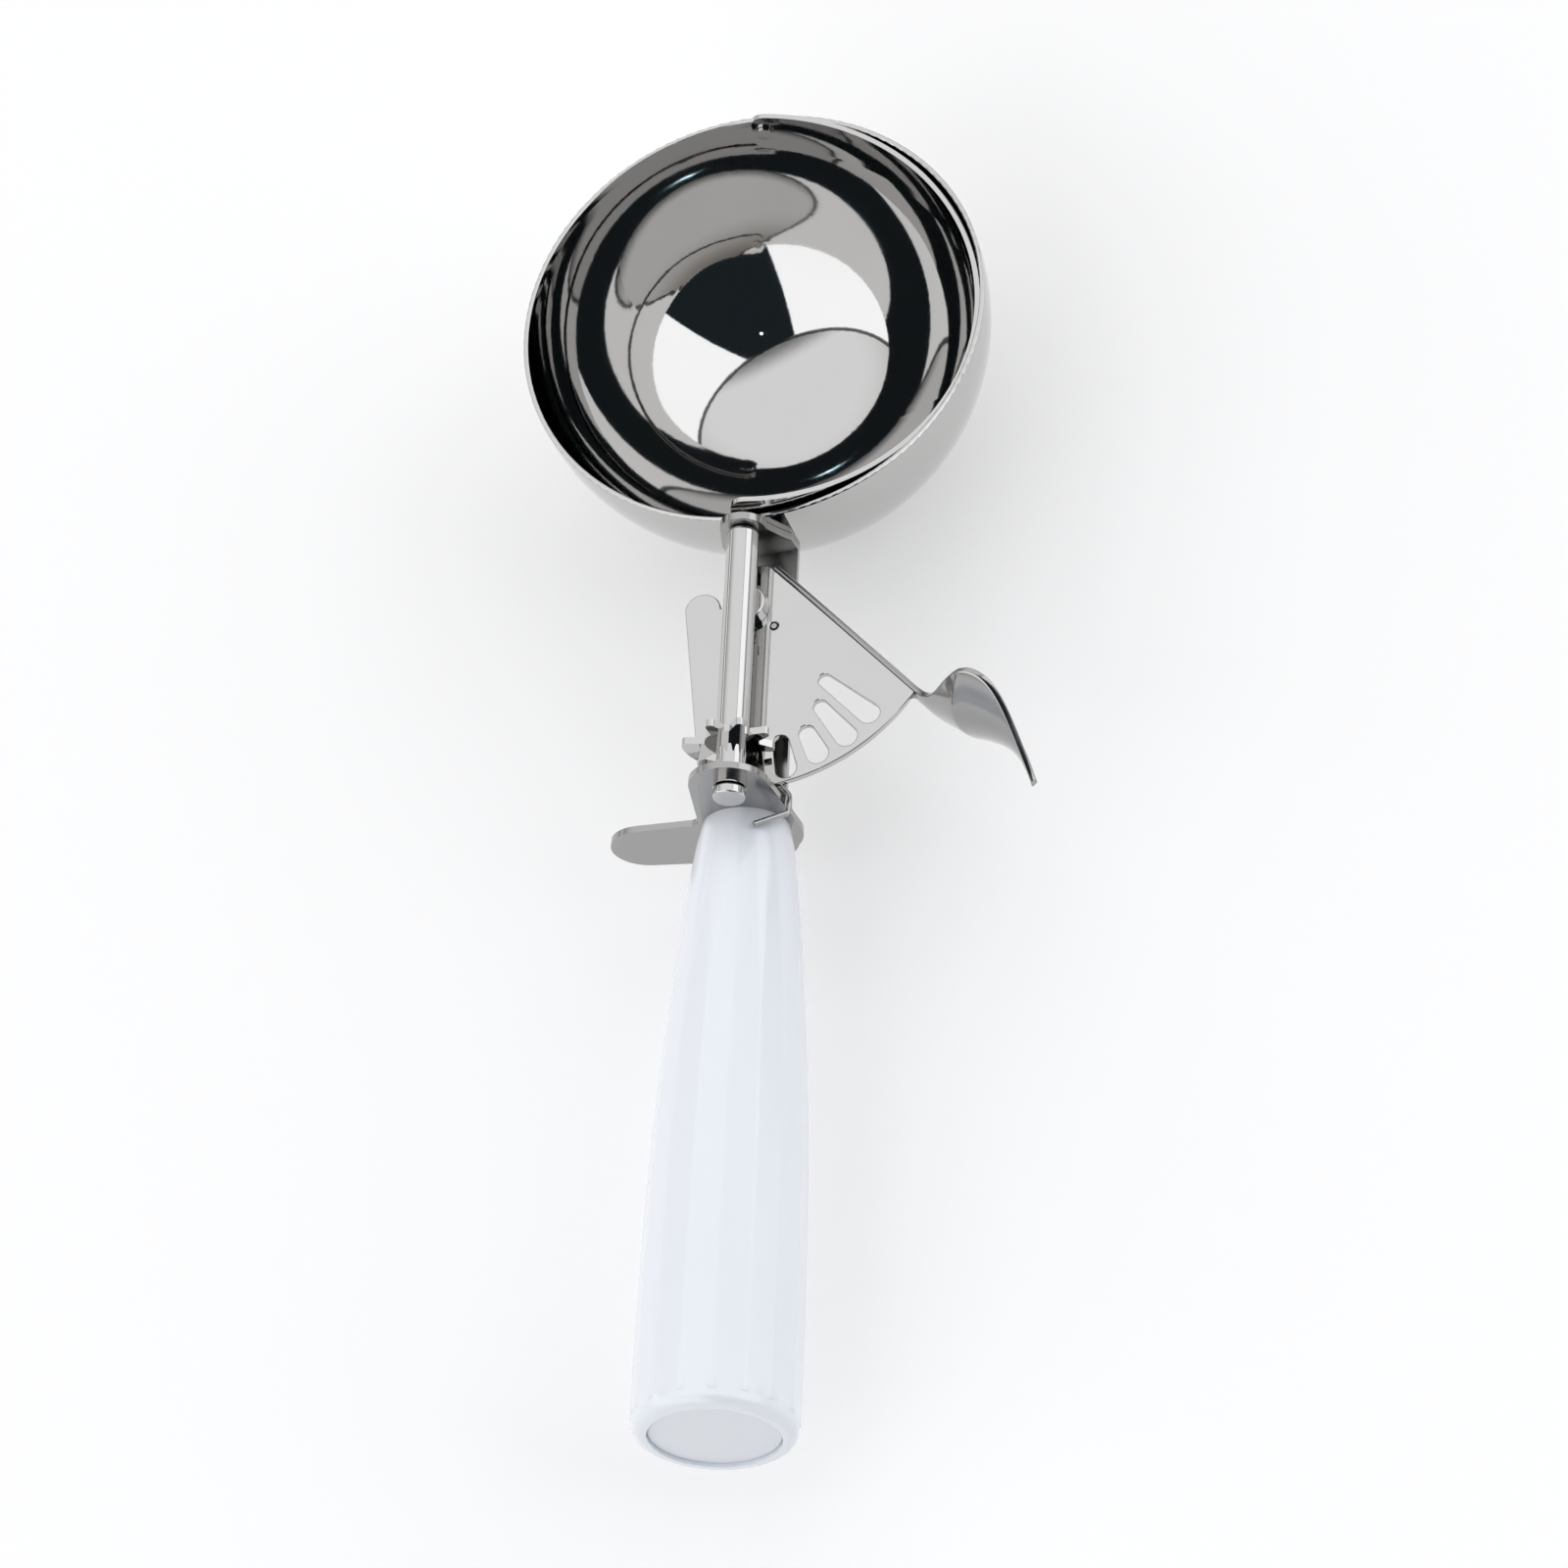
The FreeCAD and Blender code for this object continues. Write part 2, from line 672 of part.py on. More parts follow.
def make_frame_strap():
    """Strip behind the sector: foot on the finger plate, saddle and shaft eye at the bowl."""
    top = -strap_seat_radius * 0.9
    web = box_between(strap_left_x, strap_right_x, plate_top_y, top, strap_back_z, strap_front_z)
    web = web.common(sphere(strap_outer_radius).fuse(
        box_between(-far, far, -far, -strap_outer_radius * 0.9, -far, far)))
    foot = box_between(strap_left_x, strap_right_x, plate_top_y, plate_top_y + strap_thickness,
                       strap_front_z - foot_depth, strap_front_z)
    shelf = prism([
        vec(strap_left_x, -far, strap_back_z),
        vec(strap_right_x, -far, strap_back_z),
        vec(strap_right_x, -far, strap_back_z * 0.5),
        vec(eye_radius, -far, 0),
        vec(-eye_radius, -far, 0),
        vec(strap_left_x, -far, strap_back_z * 0.5),
    ], vec(0, far, 0))
    eye = y_cylinder(eye_radius, -far, 0)
    shell = sphere(strap_outer_radius).cut(sphere(strap_seat_radius))
    shelf = shelf.fuse(eye).common(shell)
    strap = web.cut(sphere(strap_seat_radius)).fuse([foot, shelf]).removeSplitter()
    strap = strap.cut(y_cylinder(bore_radius, -far, 0))
    strap = strap.cut(z_cylinder(rivet_shank_radius, -far, 0, 0, pivot_y))
    return strap.cut(in_grip(y_cylinder(tang_radius, -tang_length, far)))


def plate_place(x, z):
    return vec(x, plate_bottom_y, z)


def make_finger_plate():
    """Bolster plate between frame and grip, with the rounded finger rest on the far side."""
    push = vec(0, plate_thickness, 0)
    front = (plate_centre_x, plate_front_z)
    back = (plate_centre_x, plate_back_z)
    body = two_circle_hull(front, plate_front_radius, back, plate_back_radius, plate_place, push)
    tip = two_circle_hull((plate_centre_x, rest_tip_z), rest_root_half_width,
                          (rest_tip_x, rest_tip_z), rest_tip_radius, plate_place, push)
    plate = body.fuse(tip).removeSplitter()
    corner = edges_along(plate, Y_AXIS, lambda p: p.x < plate_centre_x - 5 and p.z > rest_tip_z)
    inner = [e for e in corner if e.CenterOfMass.x > rest_tip_x + 4]
    if inner:
        plate = plate.makeFillet(rest_corner_round, inner)
    plate = plate.cut(y_cylinder(shaft_bush_neck, -far, far))
    return plate.cut(in_grip(y_cylinder(tang_radius, -tang_length, far)))


def make_shaft_bush():
    """Collar under the finger plate in which the shaft turns."""
    neck = y_cylinder(shaft_bush_neck, plate_bottom_y, plate_top_y)
    collar = y_cylinder(shaft_bush_radius, bush_end_y, plate_bottom_y)
    bush = neck.fuse(collar).removeSplitter()
    return bush.cut(y_cylinder(bore_radius, -far, far))


# Handle

def in_grip(shape):
    """Places a piece made along the grip's own axis, whose top is at zero height."""
    top = vec(grip_top_x, plate_bottom_y, grip_top_z)
    end = vec(grip_end_x, plate_bottom_y - grip_length, grip_end_z)
    turn = FreeCAD.Rotation(vec(0, -1, 0), end - top)
    placed = shape.copy()
    placed.Placement = FreeCAD.Placement(top, turn)
    return placed


def grip_stations():
    """Radius and distance from the top, along the grip's outer line."""
    return [
        (grip_top_radius, 0.0),
        (grip_shoulder_radius, grip_shoulder_at),
        (grip_neck_radius, grip_neck_at),
        (grip_belly_radius, grip_belly_at),
        (grip_full_radius, grip_full_at),
        (grip_end_radius, grip_length),
    ]


def smooth_line(points):
    curve = Part.BSplineCurve()
    curve.interpolate(points)
    return curve.toShape()


def make_grip_body():
    """Turned outer form of the grip, with a rounded end."""
    points = [vec(radius, -at, 0) for radius, at in grip_stations()]
    rise = 1.5
    top = vec(grip_top_radius, rise, 0)
    edges = [
        Part.makeLine(vec(0, rise, 0), top),
        Part.makeLine(top, points[0]),
        smooth_line(points),
        Part.makeLine(points[-1], vec(0, -grip_length, 0)),
        Part.makeLine(vec(0, -grip_length, 0), vec(0, rise, 0)),
    ]
    body = Part.Face(Part.Wire(edges)).revolve(ORIGIN, Y_AXIS, 360)
    end = [e for e in body.Edges if abs(e.BoundBox.YMax + grip_length) < 1e-6 and e.BoundBox.XLength > 1]
    return body.makeFillet(grip_end_round, end)


def make_facet_cutter():
    """Slab outside one flat of the grip; it fades out towards the neck."""
    points = [vec(grip_neck_radius + 0.9, -facet_top_at, 0)]
    for radius, at in grip_stations()[3:]:
        points.append(vec(radius - facet_depth, -at, 0))
    far_out = grip_end_radius * 1.5
    end_at = grip_length - ring_groove_from_end
    edges = [
        smooth_line(points),
        Part.makeLine(points[-1], vec(far_out, points[-1].y, 0)),
        Part.makeLine(vec(far_out, points[-1].y, 0), vec(far_out, points[0].y, 0)),
        Part.makeLine(vec(far_out, points[0].y, 0), points[0]),
    ]
    half = grip_end_radius * math.sin(math.pi / grip_facets) * 1.3
    slab = Part.Face(Part.Wire(edges)).extrude(vec(0, 0, 2 * half))
    slab.translate(vec(0, 0, -half))
    return slab.common(box_between(-far, far, -end_at, far, -far, far))


def make_handle_grip():
    """Milky grip: faceted barrel with a ring groove and a recessed end."""
    grip = make_grip_body()
    cutter = make_facet_cutter()
    for number in range(grip_facets):
        flat = cutter.copy()
        flat.rotate(ORIGIN, Y_AXIS, number * 360.0 / grip_facets)
        grip = grip.cut(flat)
    ring_at = -grip_length + ring_groove_from_end
    ring = y_cylinder(grip_end_radius + 1, ring_at - ring_groove_width / 2, ring_at + ring_groove_width / 2)
    ring = ring.cut(y_cylinder(grip_end_radius - ring_groove_depth, -far, far))
    grip = grip.cut(ring)
    grip = grip.cut(y_cylinder(end_recess_radius, -grip_length - 1, -grip_length + end_recess_depth))
    grip = grip.cut(make_tang_rod())
    grip = in_grip(grip)
    return grip.cut(box_between(-far, far, plate_bottom_y, far, -far, far))


def make_end_plug():
    """Disc set into the grip's end, a little below its rim."""
    low = -grip_length + end_recess_depth - end_plug_thickness
    plug = y_cylinder(end_recess_radius, low, low + end_plug_thickness)
    rim = [e for e in plug.Edges if abs(e.BoundBox.YMax - low) < 1e-6 and e.BoundBox.XLength > 1]
    return in_grip(plug.makeFillet(0.4, rim))


def make_tang_rod():
    """Grooved rod that the grip is moulded round, with its head above the frame's foot."""
    deck = plate_thickness + strap_thickness + seat_gap
    rod = y_cylinder(tang_radius, -tang_length, deck)
    head = y_cylinder(tang_head_radius, deck, deck + tang_head_height)
    rod = rod.fuse(head).removeSplitter()
    step = tang_length / (tang_grooves + 1)
    for number in range(tang_grooves):
        middle = -step * (number + 1)
        groove = y_cylinder(tang_radius + 1, middle - tang_groove_width / 2, middle + tang_groove_width / 2)
        rod = rod.cut(groove.cut(y_cylinder(tang_radius - tang_groove_depth, -far, far)))
    return rod


def make_handle_tang():
    return in_grip(make_tang_rod())


def make_pivot_washer():
    """Washer between the rivet's head and the sector."""
    low = sector_front_z + seat_gap
    washer = z_cylinder(pivot_head_radius + washer_overhang, low, low + washer_thickness, 0, pivot_y)
    return washer.cut(z_cylinder(rivet_shank_radius, -far, far, 0, pivot_y))


PIECES = {
    "bowl": make_bowl,
    "blade_tip_rivet": make_blade_tip_rivet,
    "scraper_blade": make_scraper_blade,
    "blade_root_rivet": make_blade_root_rivet,
    "shaft_core": make_shaft_core,
    "shaft_tube": make_shaft_tube,
    "star_wheel": make_star_wheel,
    "lower_sleeve": make_lower_sleeve,
    "shaft_end_cap": make_shaft_end_cap,
    "shaft_bush": make_shaft_bush,
    "sector_gear": make_sector_gear,
    "thumb_lever": make_thumb_lever,
    "pivot_rivet": make_pivot_rivet,
    "pivot_washer": make_pivot_washer,
    "return_spring": make_return_spring,
    "frame_strap": make_frame_strap,
    "finger_plate": make_finger_plate,
    "handle_tang": make_handle_tang,
    "handle_grip": make_handle_grip,
    "handle_end_plug": make_end_plug,
}


def make_all():
    """Every piece in the working frame, by node name."""
    return {name: make() for name, make in PIECES.items()}


def origin_shift(pieces):
    """Move that puts the origin at the bottom centre of the whole scoop's box."""
    box = FreeCAD.BoundBox()
    for shape in pieces.values():
        box.add(shape.optimalBoundingBox(True, False))
    return vec(-(box.XMin + box.XMax) / 2, -(box.YMin + box.YMax) / 2, -box.ZMin)


def main():
    os.makedirs("parts", exist_ok=True)
    pieces = make_all()
    shift = origin_shift(pieces)
    print("shift", round(shift.x, 4), round(shift.y, 4), round(shift.z, 4))
    for name, shape in pieces.items():
        moved = shape.copy()
        moved.translate(shift)
        print(name, "solids", len(shape.Solids), "valid", shape.isValid(), "volume", round(shape.Volume, 2))
        moved.exportStep("parts/" + name + ".step")
    print("lever travel", round(lever_travel, 3), "scraper travel", scraper_travel)


main()
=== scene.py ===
# %% [markdown]
# # A lever ice cream scoop
# The frame comes packed from the construction files, and nothing in it is moved here. This script
# gives every piece its finish, draws again the three pieces whose form the construction keeps
# plainer (the thumb lever, the gear plate and the grip), sets the studio round the tool and stands
# the camera in its place. Blender's lengths are metres. +Y runs along the shaft to the bowl's tip
# and +Z out of the bowl's mouth.

# %% Load the frame
import math

import bmesh
import bpy
from mathutils import Matrix, Vector


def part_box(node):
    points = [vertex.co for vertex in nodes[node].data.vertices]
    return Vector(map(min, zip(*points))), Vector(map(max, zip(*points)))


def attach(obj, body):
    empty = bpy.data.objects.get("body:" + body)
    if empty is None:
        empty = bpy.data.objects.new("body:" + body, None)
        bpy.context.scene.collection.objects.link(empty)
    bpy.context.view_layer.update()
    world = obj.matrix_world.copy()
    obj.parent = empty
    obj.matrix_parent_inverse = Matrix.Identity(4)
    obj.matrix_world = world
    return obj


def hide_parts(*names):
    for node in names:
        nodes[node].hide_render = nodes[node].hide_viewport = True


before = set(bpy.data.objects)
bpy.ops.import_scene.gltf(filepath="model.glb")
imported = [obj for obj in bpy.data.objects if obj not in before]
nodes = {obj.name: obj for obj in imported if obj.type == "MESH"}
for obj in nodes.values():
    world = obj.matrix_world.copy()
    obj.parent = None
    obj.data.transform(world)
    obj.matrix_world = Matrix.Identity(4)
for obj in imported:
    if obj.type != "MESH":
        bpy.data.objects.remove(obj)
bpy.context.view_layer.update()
print("frame loaded:", len(nodes), "nodes")

# %% [markdown]
# ## Where the drawing starts
# The middle of the bowl's mouth is the point that every length here is measured from. Blender's
# own origin would do as well, but it lies wherever the packing put it, while the bowl's box can
# always be read. The mouth lies below the top of that box by the height of the lip. New pieces and
# the camera are placed in millimetres from it.

# %% The middle of the mouth
MM = 0.001
lip_height = 1.5
bowl_low, bowl_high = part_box("bowl")
mouth_middle = Vector((
    (bowl_low[0] + bowl_high[0]) / 2,
    (bowl_low[1] + bowl_high[1]) / 2,
    bowl_high[2] - lip_height * MM,
))


def at(x, y, z):
    """A place in metres, from millimetres off the middle of the mouth."""
    return mouth_middle + Vector((x, y, z)) * MM


print("mouth middle", [round(c, 5) for c in mouth_middle])

# %% [markdown]
# ## Camera
# A camera could be moved by eye until the picture looks right. Here its place and its three axes
# come from a fit of the bowl's rim, the shaft and the grip to the photograph, because a fit brings
# all edges into place at once. The lens is long, so the two ends of the tool hardly differ in
# scale.

# %% Camera
camera_place = at(267.832, -632.647, 986.724)
camera_right = Vector((0.97195, 0.04347, -0.23114))
camera_up = Vector((0.07218, 0.88020, 0.46907))
camera_back = camera_right.cross(camera_up)
camera_lens = 171.33
camera_sensor_width = 36.0
camera_nearest = 0.01
camera_farthest = 50.0

camera_data = bpy.data.cameras.new("camera")
camera_data.lens = camera_lens
camera_data.sensor_width = camera_sensor_width
camera_data.clip_start = camera_nearest
camera_data.clip_end = camera_farthest
camera = bpy.data.objects.new("camera", camera_data)
bpy.context.scene.collection.objects.link(camera)
camera_turn = Matrix((camera_right, camera_up, camera_back)).transposed()
camera.matrix_world = Matrix.Translation(camera_place) @ camera_turn.to_4x4()
bpy.context.scene.camera = camera
bpy.context.scene.view_settings.view_transform = "Standard"
print("camera", round(math.degrees(math.asin(camera_back.z)), 1), "degrees above the floor")

# %% [markdown]
# ## Tools for making materials
# Nodes could be wired by hand in the shader editor. In a script a node is made with its settings in
# one call, and `set_inputs` fills its sockets by name, so that each finish stays a few lines long.

# %% Tools for making materials
def add_node(tree, kind, **settings):
    node = tree.nodes.new(kind)
    for name, value in settings.items():
        setattr(node, name, value)
    return node


def set_inputs(node, **values):
    for name, value in values.items():
        node.inputs[name.replace("_", " ")].default_value = value
    return node


def new_material(name):
    material = bpy.data.materials.new(name)
    material.use_nodes = True
    tree = material.node_tree
    shader = tree.nodes["Principled BSDF"]
    return material, tree, shader


print("material tools:", add_node.__name__, set_inputs.__name__, new_material.__name__)

# %% [markdown]
# ## A shared surface: rolled and buffed sheet
# All the metal here is stainless sheet, tube or wire that was rolled, stamped and buffed. Its gloss
# is never even: soft clouds lie in it where the buffing wheel pressed harder, and fine lines run
# the way the sheet was rubbed. A plain roughness value would look like plastic film, and a set of
# nodes in each material would be the same work four times. So one node group holds that surface,
# and each finish gives it its own values. It puts out a colour, a roughness and a height for the
# bump.

# %% Sockets of the shared surface
def buffed_surface_group():
    group = bpy.data.node_groups.new("buffed_surface", "ShaderNodeTree")
    sockets = group.interface
    for name, kind, value in (
        ("Clean Colour", "NodeSocketColor", (0.7, 0.7, 0.7, 1)),
        ("Dull Colour", "NodeSocketColor", (0.65, 0.65, 0.65, 1)),
        ("Low Roughness", "NodeSocketFloat", 0.02),
        ("High Roughness", "NodeSocketFloat", 0.06),
        ("Cloud Scale", "NodeSocketFloat", 45.0),
        ("Line Stretch", "NodeSocketVector", (1.0, 1.0, 1.0)),
        ("Line Scale", "NodeSocketFloat", 900.0),
        ("Line Height", "NodeSocketFloat", 0.00001),
        ("Wave Height", "NodeSocketFloat", 0.00005),
    ):
        sockets.new_socket(name, in_out="INPUT", socket_type=kind).default_value = value
    sockets.new_socket("Colour", in_out="OUTPUT", socket_type="NodeSocketColor")
    sockets.new_socket("Roughness", in_out="OUTPUT", socket_type="NodeSocketFloat")
    sockets.new_socket("Height", in_out="OUTPUT", socket_type="NodeSocketFloat")
    return group


buffed_surface = buffed_surface_group()
print("group sockets:", len(buffed_surface.interface.items_tree))

# %% [markdown]
# Inside the group, a wide noise makes the clouds. It sets the roughness between its low and its
# high value, and the colour between the clean and the dull one.

# %% Clouds in the gloss
cloud_dark, cloud_bright = 0.3, 0.7
cloud_detail = 3.0


def add_clouds(group, inside, result, place):
    cloud = set_inputs(add_node(group, "ShaderNodeTexNoise"), Detail=cloud_detail)
    group.links.new(place, cloud.inputs["Vector"])
    group.links.new(inside["Cloud Scale"], cloud.inputs["Scale"])
    gloss = add_node(group, "ShaderNodeMapRange")
    set_inputs(gloss, From_Min=cloud_dark, From_Max=cloud_bright)
    group.links.new(cloud.outputs["Fac"], gloss.inputs["Value"])
    group.links.new(inside["Low Roughness"], gloss.inputs["To Min"])
    group.links.new(inside["High Roughness"], gloss.inputs["To Max"])
    group.links.new(gloss.outputs["Result"], result["Roughness"])
    tint = add_node(group, "ShaderNodeMix", data_type="RGBA")
    group.links.new(cloud.outputs["Fac"], tint.inputs["Factor"])
    group.links.new(inside["Clean Colour"], tint.inputs["A"])
    group.links.new(inside["Dull Colour"], tint.inputs["B"])
    group.links.new(tint.outputs["Result"], result["Colour"])


print("clouds between", cloud_dark, "and", cloud_bright, "of the noise")

# %% [markdown]
# A fine noise, squeezed along the rubbing, makes the lines. A third one, as wide as a fingertip, is
# the slight wave that pressed sheet always has: it is far too low to feel, and bends every
# reflection a little. Both are heights and not shapes in the mesh, because they don't change the
# outline.

# %% Lines and waves
wave_scale = 55.0
wave_detail = 1.0
line_detail = 2.0


def add_heights(group, inside, result, place):
    squeeze = add_node(group, "ShaderNodeVectorMath", operation="MULTIPLY")
    group.links.new(place, squeeze.inputs[0])
    group.links.new(inside["Line Stretch"], squeeze.inputs[1])
    lines = set_inputs(add_node(group, "ShaderNodeTexNoise"), Detail=line_detail)
    group.links.new(squeeze.outputs[0], lines.inputs["Vector"])
    group.links.new(inside["Line Scale"], lines.inputs["Scale"])
    wave = set_inputs(add_node(group, "ShaderNodeTexNoise"), Scale=wave_scale, Detail=wave_detail)
    group.links.new(place, wave.inputs["Vector"])
    both = add_node(group, "ShaderNodeMath", operation="ADD")
    for number, (noise, size) in enumerate(((lines, "Line Height"), (wave, "Wave Height"))):
        product = add_node(group, "ShaderNodeMath", operation="MULTIPLY")
        group.links.new(noise.outputs["Fac"], product.inputs[0])
        group.links.new(inside[size], product.inputs[1])
        group.links.new(product.outputs[0], both.inputs[number])
    group.links.new(both.outputs[0], result["Height"])


def fill_buffed_surface(group):
    inside = add_node(group, "NodeGroupInput").outputs
    result = add_node(group, "NodeGroupOutput").inputs
    place = add_node(group, "ShaderNodeTexCoord").outputs["Object"]
    add_clouds(group, inside, result, place)
    add_heights(group, inside, result, place)


fill_buffed_surface(buffed_surface)
print("group nodes:", len(buffed_surface.nodes))

# %% [markdown]
# ## The metal finishes
# The bowl, shaft and gear are polished like a mirror. The lever is pressed from the same sheet and
# polished less, the frame and the finger plate are only satin, and the spring is bare wire. They
# could share one material, but then the light would lie on all of them in the same way, and the
# photograph tells them apart by just that. The lever and the satin pieces also get a darker grey
# than the mirror steel. That grey is painted shade: their faces see the floor where the tool shades
# it. Heights are in metres.

# %% A finish of steel
cloud_scale = 45.0
line_scale = 900.0
steel_tint = (1.0, 0.99, 0.975)
dulling = 0.93


def steel_finish(name, grey, low, high, stretch, line_height, wave_height):
    """Steel of a grey, between a low and a high roughness, with rubbing lines along one way."""
    material, tree, shader = new_material(name)
    surface = add_node(tree, "ShaderNodeGroup", node_tree=buffed_surface)
    clean = [grey * share for share in steel_tint]
    dull = [share * dulling for share in clean]
    set_inputs(surface, Clean_Colour=(*clean, 1), Dull_Colour=(*dull, 1),
               Low_Roughness=low, High_Roughness=high, Cloud_Scale=cloud_scale,
               Line_Stretch=stretch, Line_Scale=line_scale, Line_Height=line_height,
               Wave_Height=wave_height)
    bump = set_inputs(add_node(tree, "ShaderNodeBump"), Strength=1.0, Distance=1.0)
    tree.links.new(surface.outputs["Height"], bump.inputs["Height"])
    tree.links.new(bump.outputs["Normal"], shader.inputs["Normal"])
    tree.links.new(surface.outputs["Colour"], shader.inputs["Base Color"])
    tree.links.new(surface.outputs["Roughness"], shader.inputs["Roughness"])
    shader.inputs["Metallic"].default_value = 1.0
    return material


print("steel tint", steel_tint, "and", dulling, "of it where dull")

# %% [markdown]
# Satin steel was rubbed along the shaft, so its lines are drawn out that way.

# %% Four steels
evenly = (1, 1, 1)
along_shaft = (1, 0.05, 1)

mirror_steel = steel_finish("mirror_steel", 0.55, 0.02, 0.06, evenly, 0.0000025, 0.00006)
# The lever and satin steels take lower greys than the mirror steel. Their roughness is their own
# finish, and their darker grey is painted shade for faces that see the shaded floor.
lever_steel = steel_finish("lever_steel", 0.37, 0.12, 0.18, evenly, 0.0000025, 0.00003)
satin_shaded_steel = steel_finish("satin_shaded_steel", 0.38, 0.16, 0.24, along_shaft, 0.000005, 0.00003)
wire_steel = steel_finish("wire_steel", 0.40, 0.10, 0.20, evenly, 0.000005, 0.0)
print("steel finishes:", len([m for m in bpy.data.materials if "steel" in m.name]))

# %% [markdown]
# ## Milky plastic
# The grip is moulded in a bluish white that lets a little light in. A plain white would look like
# paint, and full transmission like glass. So light spreads just under the surface, a soft noise
# moves the white between a clear and a deeper one, and a low roughness keeps the moulded gloss. The
# noise is a node group, because the grip and its end plug share it.

# %% Clouds in the milk
milk_cloud_scale = 25.0
milk_cloud_detail = 3.0


def milk_clouds_group():
    group = bpy.data.node_groups.new("milk_clouds", "ShaderNodeTree")
    for name, way in (("Clear Colour", "INPUT"), ("Deep Colour", "INPUT"), ("Colour", "OUTPUT")):
        group.interface.new_socket(name, in_out=way, socket_type="NodeSocketColor")
    inside = add_node(group, "NodeGroupInput").outputs
    result = add_node(group, "NodeGroupOutput").inputs
    place = add_node(group, "ShaderNodeTexCoord").outputs["Object"]
    cloud = add_node(group, "ShaderNodeTexNoise")
    set_inputs(cloud, Scale=milk_cloud_scale, Detail=milk_cloud_detail)
    group.links.new(place, cloud.inputs["Vector"])
    tint = add_node(group, "ShaderNodeMix", data_type="RGBA")
    group.links.new(cloud.outputs["Fac"], tint.inputs["Factor"])
    group.links.new(inside["Clear Colour"], tint.inputs["A"])
    group.links.new(inside["Deep Colour"], tint.inputs["B"])
    group.links.new(tint.outputs["Result"], result["Colour"])
    return group


milk_clouds = milk_clouds_group()
print("milk group nodes:", len(milk_clouds.nodes))

# %% [markdown]
# The group gives the colour, which changes over the surface. How far light spreads under it and how
# glossy it is are the same all over, so they are set on the shader itself.

# %% Milky plastic
milk_share = 0.15
milk_depth = 0.002
milk_gloss = 0.75


def milky_plastic(name, clear, deep, rough):
    material, tree, shader = new_material(name)
    clouds = add_node(tree, "ShaderNodeGroup", node_tree=milk_clouds)
    set_inputs(clouds, Clear_Colour=(*clear, 1), Deep_Colour=(*deep, 1))
    tree.links.new(clouds.outputs["Colour"], shader.inputs["Base Color"])
    set_inputs(shader, Roughness=rough, Subsurface_Weight=milk_share, Subsurface_Scale=milk_depth)
    shader.inputs["Specular IOR Level"].default_value = milk_gloss
    shader.inputs["Subsurface Radius"].default_value = (1.0, 1.0, 1.0)
    return material


grip_plastic = milky_plastic("grip_plastic", (0.80, 0.825, 0.87), (0.755, 0.785, 0.835), 0.12)
plug_plastic = milky_plastic("plug_plastic", (0.75, 0.775, 0.81), (0.71, 0.74, 0.78), 0.30)
print("plastics:", grip_plastic.name, plug_plastic.name)

# %% [markdown]
# ## Which piece has which finish
# Each node of the frame takes its finish here, also the ones that are drawn again below. A table
# keeps it plain to see which pieces on the real tool were polished together.

# %% Finishes of the nodes
finishes = {
    mirror_steel: ("bowl", "scraper_blade", "blade_tip_rivet", "blade_root_rivet", "shaft_tube",
                   "star_wheel", "lower_sleeve", "shaft_end_cap", "shaft_bush", "pivot_rivet",
                   "sector_gear", "pivot_washer"),
    satin_shaded_steel: ("frame_strap", "finger_plate", "handle_tang", "shaft_core"),
    lever_steel: ("thumb_lever",),
    wire_steel: ("return_spring",),
    grip_plastic: ("handle_grip",),
    plug_plastic: ("handle_end_plug",),
}
for material, names in finishes.items():
    for name in names:
        nodes[name].data.materials.clear()
        nodes[name].data.materials.append(material)
print("finished nodes:", sum(len(names) for names in finishes.values()))

# %% [markdown]
# ## A tool for drawing swept pieces
# The lever and the grip are swept forms: one outline follows the next along the piece. They could
# be cut from blocks with booleans, which leaves untidy faces on a curved sheet. `skin` lays faces
# between a row of outlines that have as many points each, closes the two ends and keeps an edge
# sharp only where the surface really folds.

# %% Skin through a row of outlines
sharp_angle = math.radians(38)


def skin(name, outlines, material, node, body):
    """A closed piece through closed outlines, on a body. It replaces a node where one is named."""
    mesh = bmesh.new()
    rows = [[mesh.verts.new(point) for point in outline] for outline in outlines]
    count = len(rows[0])
    for row, following in zip(rows, rows[1:]):
        for k in range(count):
            n = (k + 1) % count
            mesh.faces.new((row[k], row[n], following[n], following[k]))
    mesh.faces.new(list(reversed(rows[0])))
    mesh.faces.new(rows[-1])
    bmesh.ops.recalc_face_normals(mesh, faces=mesh.faces)
    for face in mesh.faces:
        face.smooth = True
    for edge in mesh.edges:
        edge.smooth = edge.calc_face_angle(0.0) < sharp_angle
    data = bpy.data.meshes.new(name)
    mesh.to_mesh(data)
    mesh.free()
    data.materials.append(material)
    piece = bpy.data.objects.new(name, data)
    bpy.context.scene.collection.objects.link(piece)
    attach(piece, body)
    if node:
        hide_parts(node)
    return piece


print("edges stay sharp from", round(math.degrees(sharp_angle)), "degrees")

# %% [markdown]
# ## The thumb lever
# The lever is one strip of sheet. Along the gear plate it is folded down into a rail, and beyond
# the plate it widens into a thumb leaf, which is dished like a spoon. Its tip curls over, and its
# edges are rubbed round. A flat sheet with a thickness added would be quicker, but its width, dish
# and curl change together along the leaf, so each outline is worked out from how far along it lies.
# `leaf_section` says how wide the leaf is at a distance from the rail, where its middle runs and
# how far it stands out.

# %% Width and curve of the leaf
rail_half_width = 1.8
leaf_length = 27.8
leaf_widest_at = 13.0
leaf_half_width = 11.3
leaf_tip_half_width = 0.7
leaf_swell_power = 3
leaf_closing_power = 1.5
leaf_middle_rise = 4.9
leaf_tip_fall = 2.8
leaf_curl_from = 12.0
leaf_curl = 3.0
leaf_curl_angle = math.radians(160)


